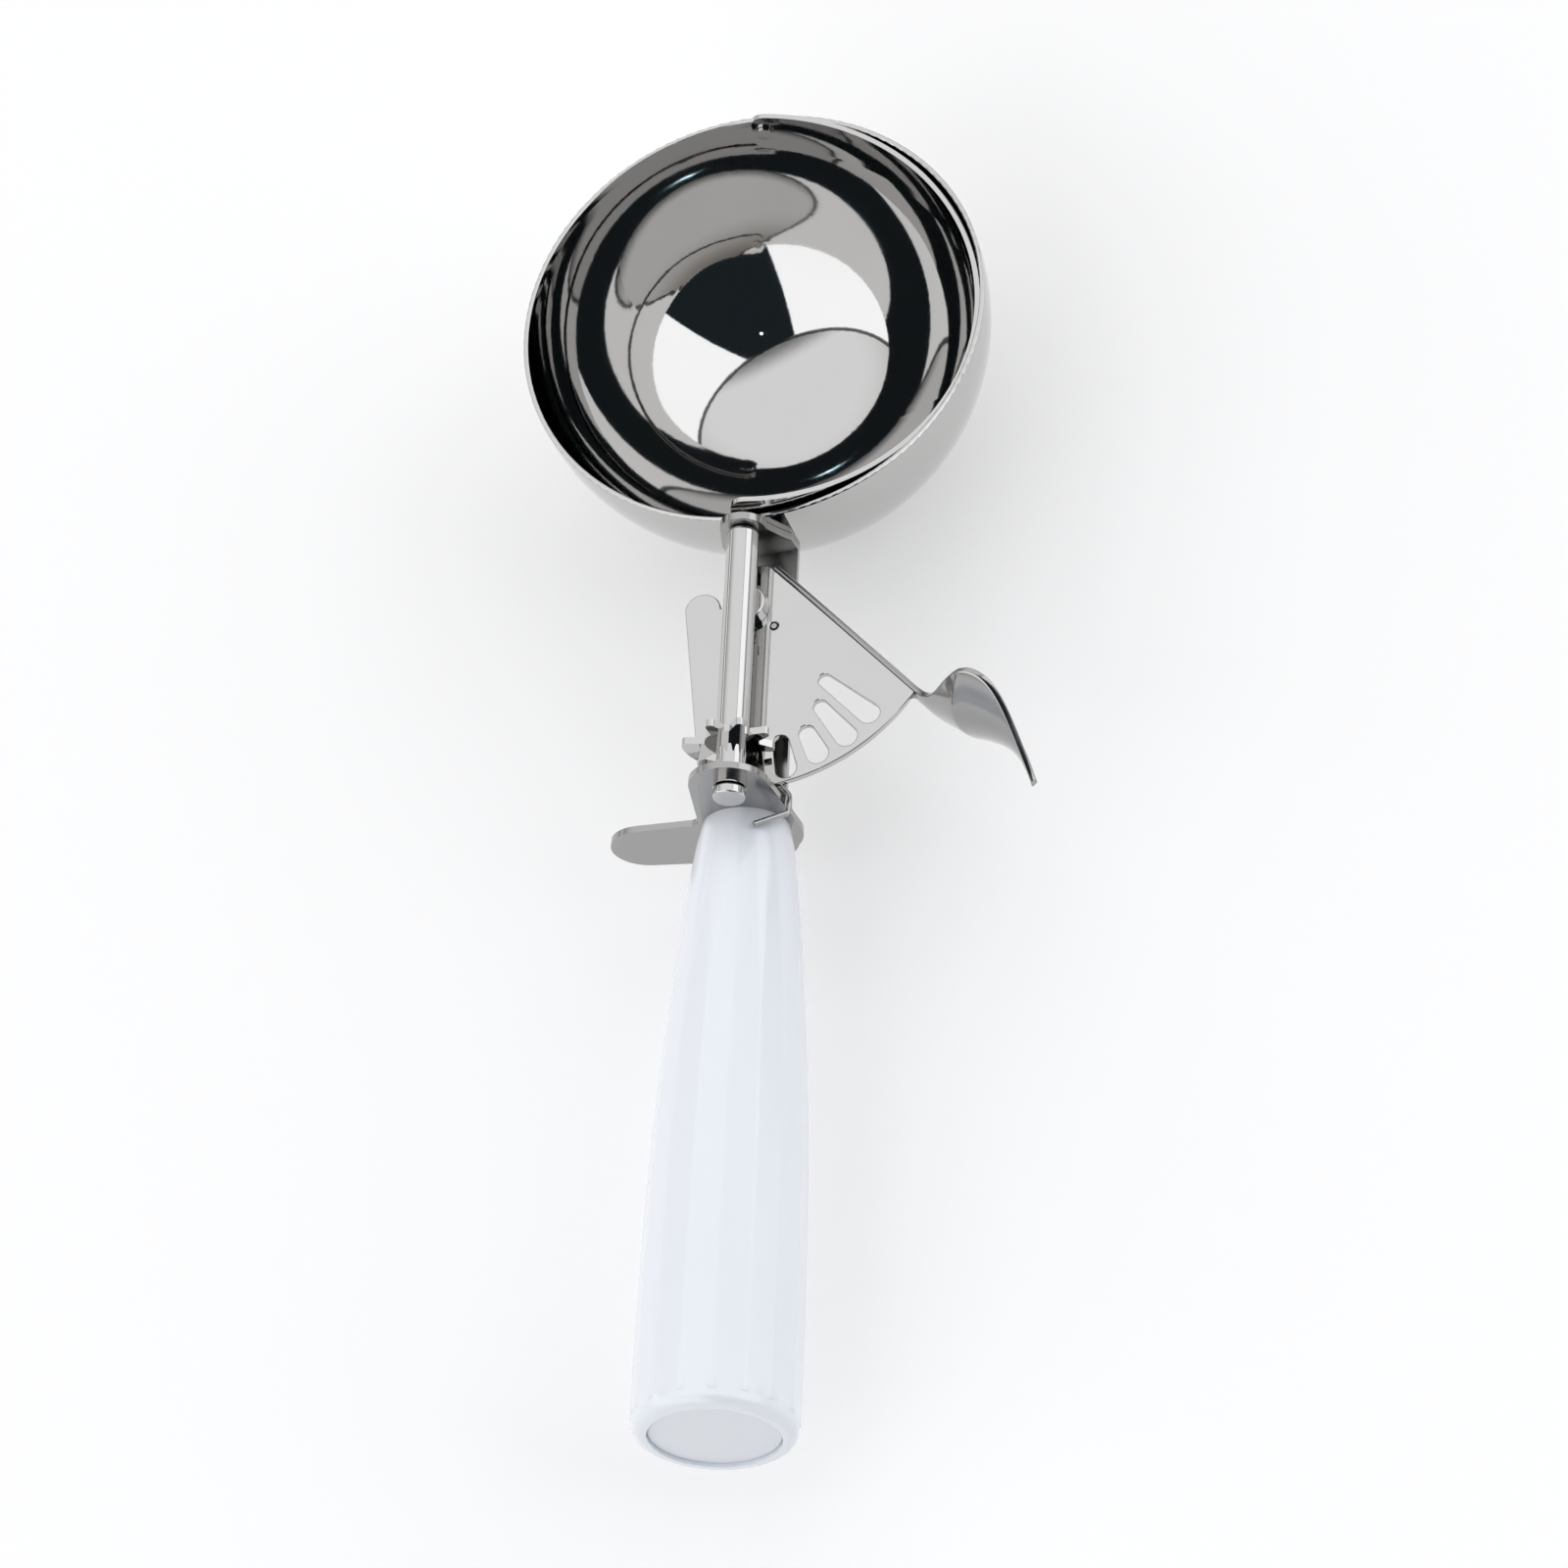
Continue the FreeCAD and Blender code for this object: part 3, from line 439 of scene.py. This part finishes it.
def leaf_section(reach):
    widening = min(max(reach, 0.0) / leaf_widest_at, 1.0)
    swell = math.sin(widening * math.pi / 2) ** leaf_swell_power
    past = max(reach - leaf_widest_at, 0.0) / (leaf_length - leaf_widest_at)
    half = rail_half_width + (leaf_half_width - rail_half_width) * swell
    if past > 0:
        closing = math.cos(past * math.pi / 2) ** leaf_closing_power
        half = leaf_tip_half_width + (leaf_half_width - leaf_tip_half_width) * closing
    middle = leaf_middle_rise * swell - leaf_tip_fall * past ** 2
    curled = max(reach - leaf_curl_from, 0.0) / (leaf_length - leaf_curl_from)
    return half, middle, leaf_curl * math.sin(leaf_curl_angle * curled)


looked_at = (0.0, leaf_widest_at / 2, leaf_widest_at, leaf_length)
print("leaf half widths", [round(leaf_section(reach)[0], 1) for reach in looked_at])

# %% [markdown]
# The strip's outline is a bar with rounded corners. The corner on top is a wide bend where the
# plate folds into the rail, and becomes a plain rubbed edge on the leaf. The two long sides have
# points too, so that the dish can bend them.

# %% Outline of the strip
sheet = 1.1
rubbed_edge = 0.3
largest_edge_share = 0.45
fold_bend = 0.9
corner_steps = 5
side_steps = 20


def edge_round(half):
    """Radius of a rubbed edge on a strip of this half width."""
    return min(rubbed_edge, half * largest_edge_share)


def bar_outline(half, top_round):
    """Points round a bar's section: first its distance up the strip, then its distance outwards."""
    small = edge_round(half)
    corners = (
        (-half + small, small, small, 180),
        (half - small, small, small, 270),
        (half - top_round, sheet - top_round, top_round, 0),
        (-half + small, sheet - small, small, 90),
    )
    points = []
    for number, (up, out, radius, first) in enumerate(corners):
        arc = []
        for step in range(corner_steps + 1):
            turned = math.radians(first + 90 / corner_steps * step)
            arc.append((up + radius * math.cos(turned), out + radius * math.sin(turned)))
        points += arc
        following = corners[(number + 1) % len(corners)]
        if number in (0, 2):
            start = Vector(arc[-1])
            angle = math.radians(following[3])
            end = Vector(following[:2]) + Vector((math.cos(angle), math.sin(angle))) * following[2]
            points += [tuple(start.lerp(end, k / side_steps)) for k in range(1, side_steps)]
    return points


print("points round the strip:", len(bar_outline(rail_half_width, fold_bend)))

# %% [markdown]
# The strip is laid along the fold, which passes the pivot at 7.6 mm and slants down to the right.
# A place on it is given by how far it runs along the fold, how far it rises from the pivot and its
# height.

# %% Line of the fold
pivot = Vector((0.0, -50.5, 0.0))
fold_turn = math.radians(45.7)
along = Vector((math.cos(fold_turn), -math.sin(fold_turn), 0.0))
outward = Vector((math.sin(fold_turn), math.cos(fold_turn), 0.0))
fold_offset = 7.6


def on_fold(run, rise, z):
    return at(*(pivot + along * run + outward * rise + Vector((0, 0, z))))


print("fold passes the pivot at", fold_offset, "mm")

# %% [markdown]
# The rail's first end is cut at 45 degrees. The leaf's outlines lie close together, so that its
# curves stay smooth.

# %% Rail and leaf
gear_top = -5.3
rail_start = -2.4
leaf_start = 30.5
leaf_dish = 3.9
bend_fades_over = 4.0
rail_row_spacing = 4.0
rail_rows = 8
leaf_rows = 64


def strip_outline(reach, cut=False):
    half, middle, crest = leaf_section(reach)
    blend_out = min(max(reach / bend_fades_over, 0.0), 1.0)
    top_round = fold_bend + (edge_round(half) - fold_bend) * blend_out
    outline = []
    for up, out in bar_outline(half, top_round):
        rise = fold_offset + out + crest + leaf_dish * (up / leaf_half_width) ** 2
        z = gear_top - rail_half_width + middle + up
        run = leaf_start + reach + (gear_top - z if cut else 0.0)
        outline.append(on_fold(run, rise, z))
    return outline


rail_reach = rail_start - leaf_start
reaches = [rail_reach + rail_row_spacing * k for k in range(1, rail_rows + 1)]
reaches += [leaf_length * k / leaf_rows for k in range(leaf_rows + 1)]
strip = [strip_outline(rail_reach, cut=True)] + [strip_outline(reach) for reach in reaches]
lever = skin("lever_strip", strip, lever_steel, "thumb_lever", "lever")
print("lever strip:", len(lever.data.polygons), "faces")

# %% [markdown]
# Under the plate the strip's lap is spot-welded to the gear. It is a plain strip of the same sheet
# with its corners cut off, and only its edge shows, so two outlines are enough.

# %% Lap under the gear plate
gear_thickness = 1.2
lap_width = 4.0
lap_end = 31.6


def lap_outline(z):
    corners = (
        (rail_start, 0.0),
        (lap_end, 0.0),
        (lap_end - lap_width, -lap_width),
        (rail_start + lap_width, -lap_width),
    )
    return [on_fold(run, fold_offset + out, z) for run, out in corners]


lap_top = gear_top - gear_thickness
lap_outlines = [lap_outline(lap_top), lap_outline(lap_top - sheet)]
lap = skin("lever_lap", lap_outlines, lever_steel, None, "lever")
print("lap:", len(lap.data.polygons), "faces")

# %% [markdown]
# ## The gear plate
# The fan plate is stamped, and its slots are the teeth that turn the little star wheel. The frame's
# plate has even slots. The stamped ones widen towards the rim, so the plate is drawn again. Its
# outline and its two round holes could be measured anew, but then they might drift from what they
# fit, so they are read from the frame's own plate: they are the loops of edges round its top face.

# %% Loops round the plate's top
facing_up = 0.99
level_within = 0.00001


def loops_of_top(node, top):
    """Closed loops of points round the flat top face of a node, at a height in metres."""
    mesh = bmesh.new()
    mesh.from_mesh(nodes[node].data)
    flat = {face for face in mesh.faces if face.normal.z > facing_up
            and abs(face.calc_center_median().z - top) < level_within}
    border = [edge for edge in mesh.edges if sum(face in flat for face in edge.link_faces) == 1]
    beside = {}
    for edge in border:
        for vert in edge.verts:
            beside.setdefault(vert, []).append(edge.other_vert(vert))
    loops = []
    while beside:
        vert = next(iter(beside))
        loop = []
        while vert in beside:
            loop.append(vert.co.copy())
            following = [v for v in beside.pop(vert) if v in beside]
            if following:
                vert = following[0]
        loops.append(loop)
    mesh.free()
    return loops


def loop_size(loop):
    return max(max(p[k] for p in loop) - min(p[k] for p in loop) for k in (0, 1))


gear_loops = sorted(loops_of_top("sector_gear", at(0, 0, gear_top).z), key=loop_size)
print("loops on the plate, mm:", [round(loop_size(loop) / MM, 1) for loop in gear_loops])

# %% [markdown]
# Each slot is the hull of two circles: a small one inside and a larger one near the rim. The inner
# end, the outer end and the lean change from slot to slot. The lean is how many degrees the slot
# turns off its radius on every millimetre outwards. Angles run from straight below the pivot
# towards the lever. The slots lie one pitch apart, and the first one holds the tooth of the star
# wheel that meets the plate at rest.

# %% Slots
mesh_radius = 26.7
slot_pitch = 10.0
meshing_tooth_angle = 20.0
gear_ratio = 4.5
first_slot = meshing_tooth_angle / gear_ratio
inner_ends = (25.5, 25.5, 25.5, 22.4, 19.1)
outer_ends = (30.1, 30.1, 29.7, 29.6, 28.9)
inner_halves = (1.35, 1.35, 1.35, 1.15, 1.10)
outer_half = 1.78
leans = (-0.10, -0.10, 0.07, 0.14, 0.18)
slot_end_steps = 16


def about_pivot(radius, degrees):
    turned = math.radians(degrees)
    return Vector((radius * math.sin(turned), pivot.y - radius * math.cos(turned)))


def slot_loop(number):
    """Points round one slot, in millimetres."""
    middle = first_slot + slot_pitch * number
    inner, outer = inner_ends[number], outer_ends[number]
    small = about_pivot(inner, middle + leans[number] * (inner - mesh_radius))
    large = about_pivot(outer, middle + leans[number] * (outer - mesh_radius))
    run = large - small
    facing = math.atan2(run.y, run.x)
    opening_angle = math.pi / 2 + math.asin((outer_half - inner_halves[number]) / run.length)
    loop = []
    for centre, radius, first, last in (
        (large, outer_half, -opening_angle, opening_angle),
        (small, inner_halves[number], opening_angle, 2 * math.pi - opening_angle),
    ):
        for k in range(slot_end_steps + 1):
            angle = facing + first + (last - first) * k / slot_end_steps
            loop.append(centre + Vector((math.cos(angle), math.sin(angle))) * radius)
    return loop


print("slot lengths, mm:", [round(o - i, 1) for i, o in zip(inner_ends, outer_ends)])

# %% [markdown]
# The plate itself is a flat curve: Blender fills the outline, leaves the loops inside it open,
# gives it thickness and rounds both its edges. Booleans on a solid plate would cut the slots too,
# but not round their edges.

# %% Curve of the plate
gear_edge_round = 0.22
gear_edge_steps = 3
largest_round_hole = 5.0


def add_loop(curve, points):
    spline = curve.splines.new("POLY")
    spline.points.add(len(points) - 1)
    for point, place in zip(spline.points, points):
        point.co = (place[0], place[1], 0.0, 1.0)
    spline.use_cyclic_u = True


flat_plate = bpy.data.curves.new("gear_plate", "CURVE")
flat_plate.dimensions = "2D"
flat_plate.fill_mode = "BOTH"
flat_plate.extrude = (gear_thickness / 2 - gear_edge_round) * MM
flat_plate.bevel_depth = gear_edge_round * MM
flat_plate.bevel_resolution = gear_edge_steps
flat_plate.offset = -gear_edge_round * MM
add_loop(flat_plate, gear_loops[-1])
for loop in gear_loops[:-1]:
    if loop_size(loop) < largest_round_hole * MM:
        add_loop(flat_plate, loop)
for number in range(len(inner_ends)):
    add_loop(flat_plate, [at(p.x, p.y, 0) for p in slot_loop(number)])
print("loops in the curve:", len(flat_plate.splines))

# %% [markdown]
# The curve lies flat on the floor, and what rides on a body is a mesh. So the filled form is taken
# from it as a mesh, which is lifted to the plate's height, and the curve is thrown away.

# %% Mesh of the plate
outline = bpy.data.objects.new("gear_outline", flat_plate)
bpy.context.scene.collection.objects.link(outline)
bpy.context.view_layer.update()
filled = outline.evaluated_get(bpy.context.evaluated_depsgraph_get())
gear_mesh = bpy.data.meshes.new_from_object(filled)
bpy.data.objects.remove(outline)
gear_mesh.transform(Matrix.Translation((0, 0, at(0, 0, gear_top - gear_thickness / 2).z)))
gear_mesh.materials.clear()
gear_mesh.materials.append(mirror_steel)
gear = bpy.data.objects.new("gear_fan", gear_mesh)
bpy.context.scene.collection.objects.link(gear)
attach(gear, "lever")
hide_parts("sector_gear")
print("gear plate:", len(gear_mesh.polygons), "faces", [round(d / MM, 2) for d in gear.dimensions])

# %% [markdown]
# ## The grip
# The grip is a turned form on which the mould leaves sixteen flats. A spun profile alone would be
# quite round, and a sixteen-sided one too sharp. A flat shows by the straight edge between it and
# the next one, so an outline round the grip is the lesser of a circle and a sixteen-sided figure.
# The radius at each place down the grip lies on one smooth line through six measured points.

# %% Line of the grip
grip_top = Vector((-1.0, -84.4, -15.3))
grip_end = Vector((-0.3, -190.0, -12.3))
grip_length = 105.6
grip_line = (
    (0.0, 6.9), (5.0, 7.9), (18.0, 9.35), (49.0, 11.75), (78.0, 12.7), (grip_length, 12.95),
)


def grip_slope(point):
    """Slope of the grip's line at one of its points, from the points before and after it."""
    before, after = grip_line[max(point - 1, 0)], grip_line[min(point + 1, len(grip_line) - 1)]
    return (after[1] - before[1]) / (after[0] - before[0])


def grip_radius(down):
    """Radius of the grip's turned form at a distance from its top."""
    k = max(i for i in range(len(grip_line) - 1) if grip_line[i][0] <= down)
    (start, start_radius), (end, end_radius) = grip_line[k], grip_line[k + 1]
    width = end - start
    t = (down - start) / width
    return ((2 * t ** 3 - 3 * t ** 2 + 1) * start_radius
            + (t ** 3 - 2 * t ** 2 + t) * width * grip_slope(k)
            + (3 * t ** 2 - 2 * t ** 3) * end_radius
            + (t ** 3 - t ** 2) * width * grip_slope(k + 1))


print("grip radii", [round(grip_radius(down), 2) for down in (0, 10, 30, 60, 90, 105)])

# %% [markdown]
# One outline goes round the grip at a distance from its top, with flats of a given depth. The first
# one outside is cut flat against the finger plate, which the grip meets at a slant.

# %% Outline round the grip
flats = 16
points_per_flat = 12
points_round = flats * points_per_flat
grip_down = (grip_end - grip_top).normalized()
grip_turn = Vector((0, -1, 0)).rotation_difference(grip_down)


def grip_outline(down, radius, flattened=0.0, against_plate=False):
    outline = []
    half_flat = points_per_flat // 2
    for k in range(points_round):
        angle = 2 * math.pi * k / points_round
        off_middle = (k + half_flat) % points_per_flat - half_flat
        across = 2 * math.pi * off_middle / points_round
        r = min(radius, (radius - flattened) / math.cos(across)) if flattened else radius
        point = grip_top + grip_turn @ Vector((r * math.cos(angle), -down, r * math.sin(angle)))
        if against_plate:
            point += grip_down * (grip_top.y - point.y) / grip_down.y
        outline.append(at(*point))
    return outline


print("points round the grip:", points_round)

# %% [markdown]
# The outlines go from the bore for the tang round the outside to the floor of the recess that takes
# the plug. The flats fade out towards the neck, and a plain band closes the far end.

# %% Grip
flat_depth = 0.25
fade_from = 16.0
fade_length = 24.0
band_length = 2.6
band_step = 0.2
band_slope = 0.12
end_round = 1.9
end_steps = 8
recess_radius = 10.3
recess_depth = 2.4
bore_radius = 2.5
bore_depth = 78.0
closed_radius = 0.05
side_rows = 56

outlines = [grip_outline(bore_depth, closed_radius), grip_outline(bore_depth, bore_radius),
            grip_outline(0.0, bore_radius, against_plate=True),
            grip_outline(0.0, grip_radius(0.0), against_plate=True)]
band_at = grip_length - band_length
for k in range(1, side_rows + 1):
    down = band_at * k / side_rows
    fade = min(max((down - fade_from) / fade_length, 0.0), 1.0)
    outlines.append(grip_outline(down, grip_radius(down), flat_depth * fade))
band_radius = grip_radius(band_at) - band_step
outlines.append(grip_outline(band_at + band_slope, band_radius))
outlines.append(grip_outline(grip_length - end_round, band_radius))
for step in range(1, end_steps + 1):
    angle = math.radians(90 * step / end_steps)
    outlines.append(grip_outline(grip_length - end_round + end_round * math.sin(angle),
                                 band_radius - end_round + end_round * math.cos(angle)))
outlines.append(grip_outline(grip_length, recess_radius))
outlines.append(grip_outline(grip_length - recess_depth, recess_radius))
outlines.append(grip_outline(grip_length - recess_depth, closed_radius))
grip = skin("grip_barrel", outlines, grip_plastic, "handle_grip", "frame")
print("grip:", len(grip.data.polygons), "faces")

# %% [markdown]
# ## Studio
# A white floor lies under the tool. Lit alone it would come out grey, and as a lamp of its own it
# would lose the shadow. So a share of what the camera, the metal and clear pieces see of it is its
# own white, and the rest is lit like any surface.

# %% Floor
floor_radius = 12.0
floor_corners = 96
floor_white = (0.95, 0.95, 0.95, 1)
floor_roughness = 0.9
floor_own_white = 0.3


def floor_material():
    material, tree, shader = new_material("floor")
    set_inputs(shader, Base_Color=floor_white, Roughness=floor_roughness)
    glow = add_node(tree, "ShaderNodeEmission")
    path = add_node(tree, "ShaderNodeLightPath")
    seen = path.outputs["Is Camera Ray"]
    for ray in ("Is Glossy Ray", "Is Transmission Ray"):
        either = add_node(tree, "ShaderNodeMath", operation="MAXIMUM")
        tree.links.new(seen, either.inputs[0])
        tree.links.new(path.outputs[ray], either.inputs[1])
        seen = either.outputs[0]
    share = add_node(tree, "ShaderNodeMath", operation="MULTIPLY")
    share.inputs[1].default_value = floor_own_white
    tree.links.new(seen, share.inputs[0])
    mix = add_node(tree, "ShaderNodeMixShader")
    tree.links.new(share.outputs[0], mix.inputs["Fac"])
    tree.links.new(shader.outputs[0], mix.inputs[1])
    tree.links.new(glow.outputs[0], mix.inputs[2])
    tree.links.new(mix.outputs[0], tree.nodes["Material Output"].inputs["Surface"])
    return material


bpy.ops.mesh.primitive_circle_add(vertices=floor_corners, radius=floor_radius, fill_type="NGON")
floor = bpy.context.object
floor.name = "floor"
floor.data.materials.append(floor_material())
print("floor, m across:", 2 * floor_radius)

# %% [markdown]
# ## The light tent
# The bowl is a round mirror, so the room shows in it. Read back from the photograph, that room is a
# tent of white sheets, sewn along dark seams, with a dark opening in front. It could be built from
# real sheets with lamps behind them, but they would stand in the way of other views. The sky holds
# it instead. The edge of the back sheet is a wide circle on the sky and the opening's edges are
# straight, so one dot product says which side of an edge a direction lies on.

# %% Tools for the tent
world = bpy.data.worlds.new("tent")
world.use_nodes = True
bpy.context.scene.world = world
tent = world.node_tree
aim = add_node(tent, "ShaderNodeTexCoord").outputs["Generated"]


def feed(socket, value):
    """Give a socket a plain number, or link another node's value to it."""
    if isinstance(value, float):
        socket.default_value = value
    else:
        tent.links.new(value, socket)


def side_of(plane):
    """How far a direction lies to the positive side of a plane, from -1 to 1."""
    dot = add_node(tent, "ShaderNodeVectorMath", operation="DOT_PRODUCT")
    tent.links.new(aim, dot.inputs[0])
    dot.inputs[1].default_value = Vector(plane).normalized()
    return dot.outputs["Value"]


def ramp(value, start, end, low=0.0, high=1.0):
    """A smooth change from low to high as the value goes from start to end."""
    node = add_node(tent, "ShaderNodeMapRange", interpolation_type="SMOOTHSTEP")
    set_inputs(node, From_Min=start, From_Max=end, To_Min=low, To_Max=high)
    tent.links.new(value, node.inputs["Value"])
    return node.outputs["Result"]


def joined(operation, first, second):
    """One maths step on two values."""
    node = add_node(tent, "ShaderNodeMath", operation=operation)
    feed(node.inputs[0], first)
    feed(node.inputs[1], second)
    return node.outputs[0]


def between(share, first, second):
    """first where share is 0, second where it is 1."""
    node = add_node(tent, "ShaderNodeMix", data_type="FLOAT")
    tent.links.new(share, node.inputs["Factor"])
    feed(node.inputs["A"], first)
    feed(node.inputs["B"], second)
    return node.outputs["Result"]


print("sky read as", aim.name)

# %% [markdown]
# The sheet over the back is the dimmest, and falls off towards the floor and towards the opening.
# The ones beside the opening are brighter.

# %% Sheets
up = (0, 0, 1)
opening_top_plane = (0.411, -0.856, -0.312)
back_sheet_middle = (-0.245, 0.433, 0.868)
back_sheet_edge = 0.662
back_sheet_level = 1.20
back_sheet_low_share = 0.26
back_sheet_front_share = 0.25
front_sheet_level = 1.72
sheet_softness = 0.006

height = side_of(up)
from_edge = joined("SUBTRACT", side_of(back_sheet_middle), back_sheet_edge)
past_opening_top = side_of(opening_top_plane)
low_fall = ramp(height, 0.10, 0.80, back_sheet_low_share, 1.0)
front_fall = ramp(past_opening_top, -0.20, 0.0, 1.0, back_sheet_front_share)
back = joined("MULTIPLY", joined("MULTIPLY", low_fall, front_fall), back_sheet_level)
on_back_sheet = ramp(from_edge, -sheet_softness, sheet_softness)
sheets = between(on_back_sheet, front_sheet_level, back)
print("tent sheets:", front_sheet_level, back_sheet_level)

# %% [markdown]
# A dark seam runs round the back sheet. The opening lies where three planes agree, and everything
# fades to one level near the floor. A small lamp hangs over the tool and gives the bowl its one
# sharp point of light.

# %% Seam, opening and lamp
seam_width = 0.014
seam_core = 0.4
seam_level = 0.12
opening_left_plane = (-0.372, -0.925, -0.078)
opening_right_plane = (0.982, 0.088, 0.166)
opening_level = 0.025
opening_softness = 0.008
horizon_level = 0.5
lamp_direction = (0.170, -0.416, 0.893)
lamp_edge, lamp_core = 0.99993, 0.99997
lamp_level = 12.0

off_seam = ramp(joined("ABSOLUTE", from_edge, 0.0), seam_width * seam_core, seam_width)
sheets = joined("MULTIPLY", sheets, joined("MAXIMUM", off_seam, seam_level))
opening = ramp(past_opening_top, -opening_softness, opening_softness)
for plane in (opening_left_plane, opening_right_plane):
    inside_plane = ramp(side_of(plane), -opening_softness, opening_softness)
    opening = joined("MULTIPLY", opening, inside_plane)
above_floor = ramp(height, 0.12, 0.26)
opening = joined("MULTIPLY", opening, above_floor)
light = between(opening, between(above_floor, horizon_level, sheets), opening_level)
lamp = ramp(side_of(lamp_direction), lamp_edge, lamp_core, 0.0, lamp_level)
light = joined("ADD", light, lamp)
print("lamp", lamp_level, "and opening", opening_level)

# %% [markdown]
# The back sheet is a little warm near the floor, the other sheets are cool, and the opening is a
# cold blue black, as the bowl shows it.

# %% Tints of the tent
warm_sheet = (1.0, 0.955, 0.91)
cool_sheet = (0.98, 0.985, 1.0)
opening_tint = (0.70, 1.0, 1.15)


def tinted(share, first, second):
    """A colour, or another mix, turning into the second colour as share goes from 0 to 1."""
    node = add_node(tent, "ShaderNodeMix", data_type="RGBA")
    tent.links.new(share, node.inputs["Factor"])
    if isinstance(first, tuple):
        node.inputs["A"].default_value = (*first, 1)
    else:
        tent.links.new(first, node.inputs["A"])
    node.inputs["B"].default_value = (*second, 1)
    return node.outputs["Result"]


off_back_sheet = ramp(from_edge, -sheet_softness, sheet_softness, 1.0, 0.0)
cool = joined("MAXIMUM", ramp(height, 0.30, 0.75), off_back_sheet)
colour = tinted(opening, tinted(cool, warm_sheet, cool_sheet), opening_tint)
background = tent.nodes["Background"]
tent.links.new(colour, background.inputs["Color"])
tent.links.new(light, background.inputs["Strength"])
print("tent nodes:", len(tent.nodes))
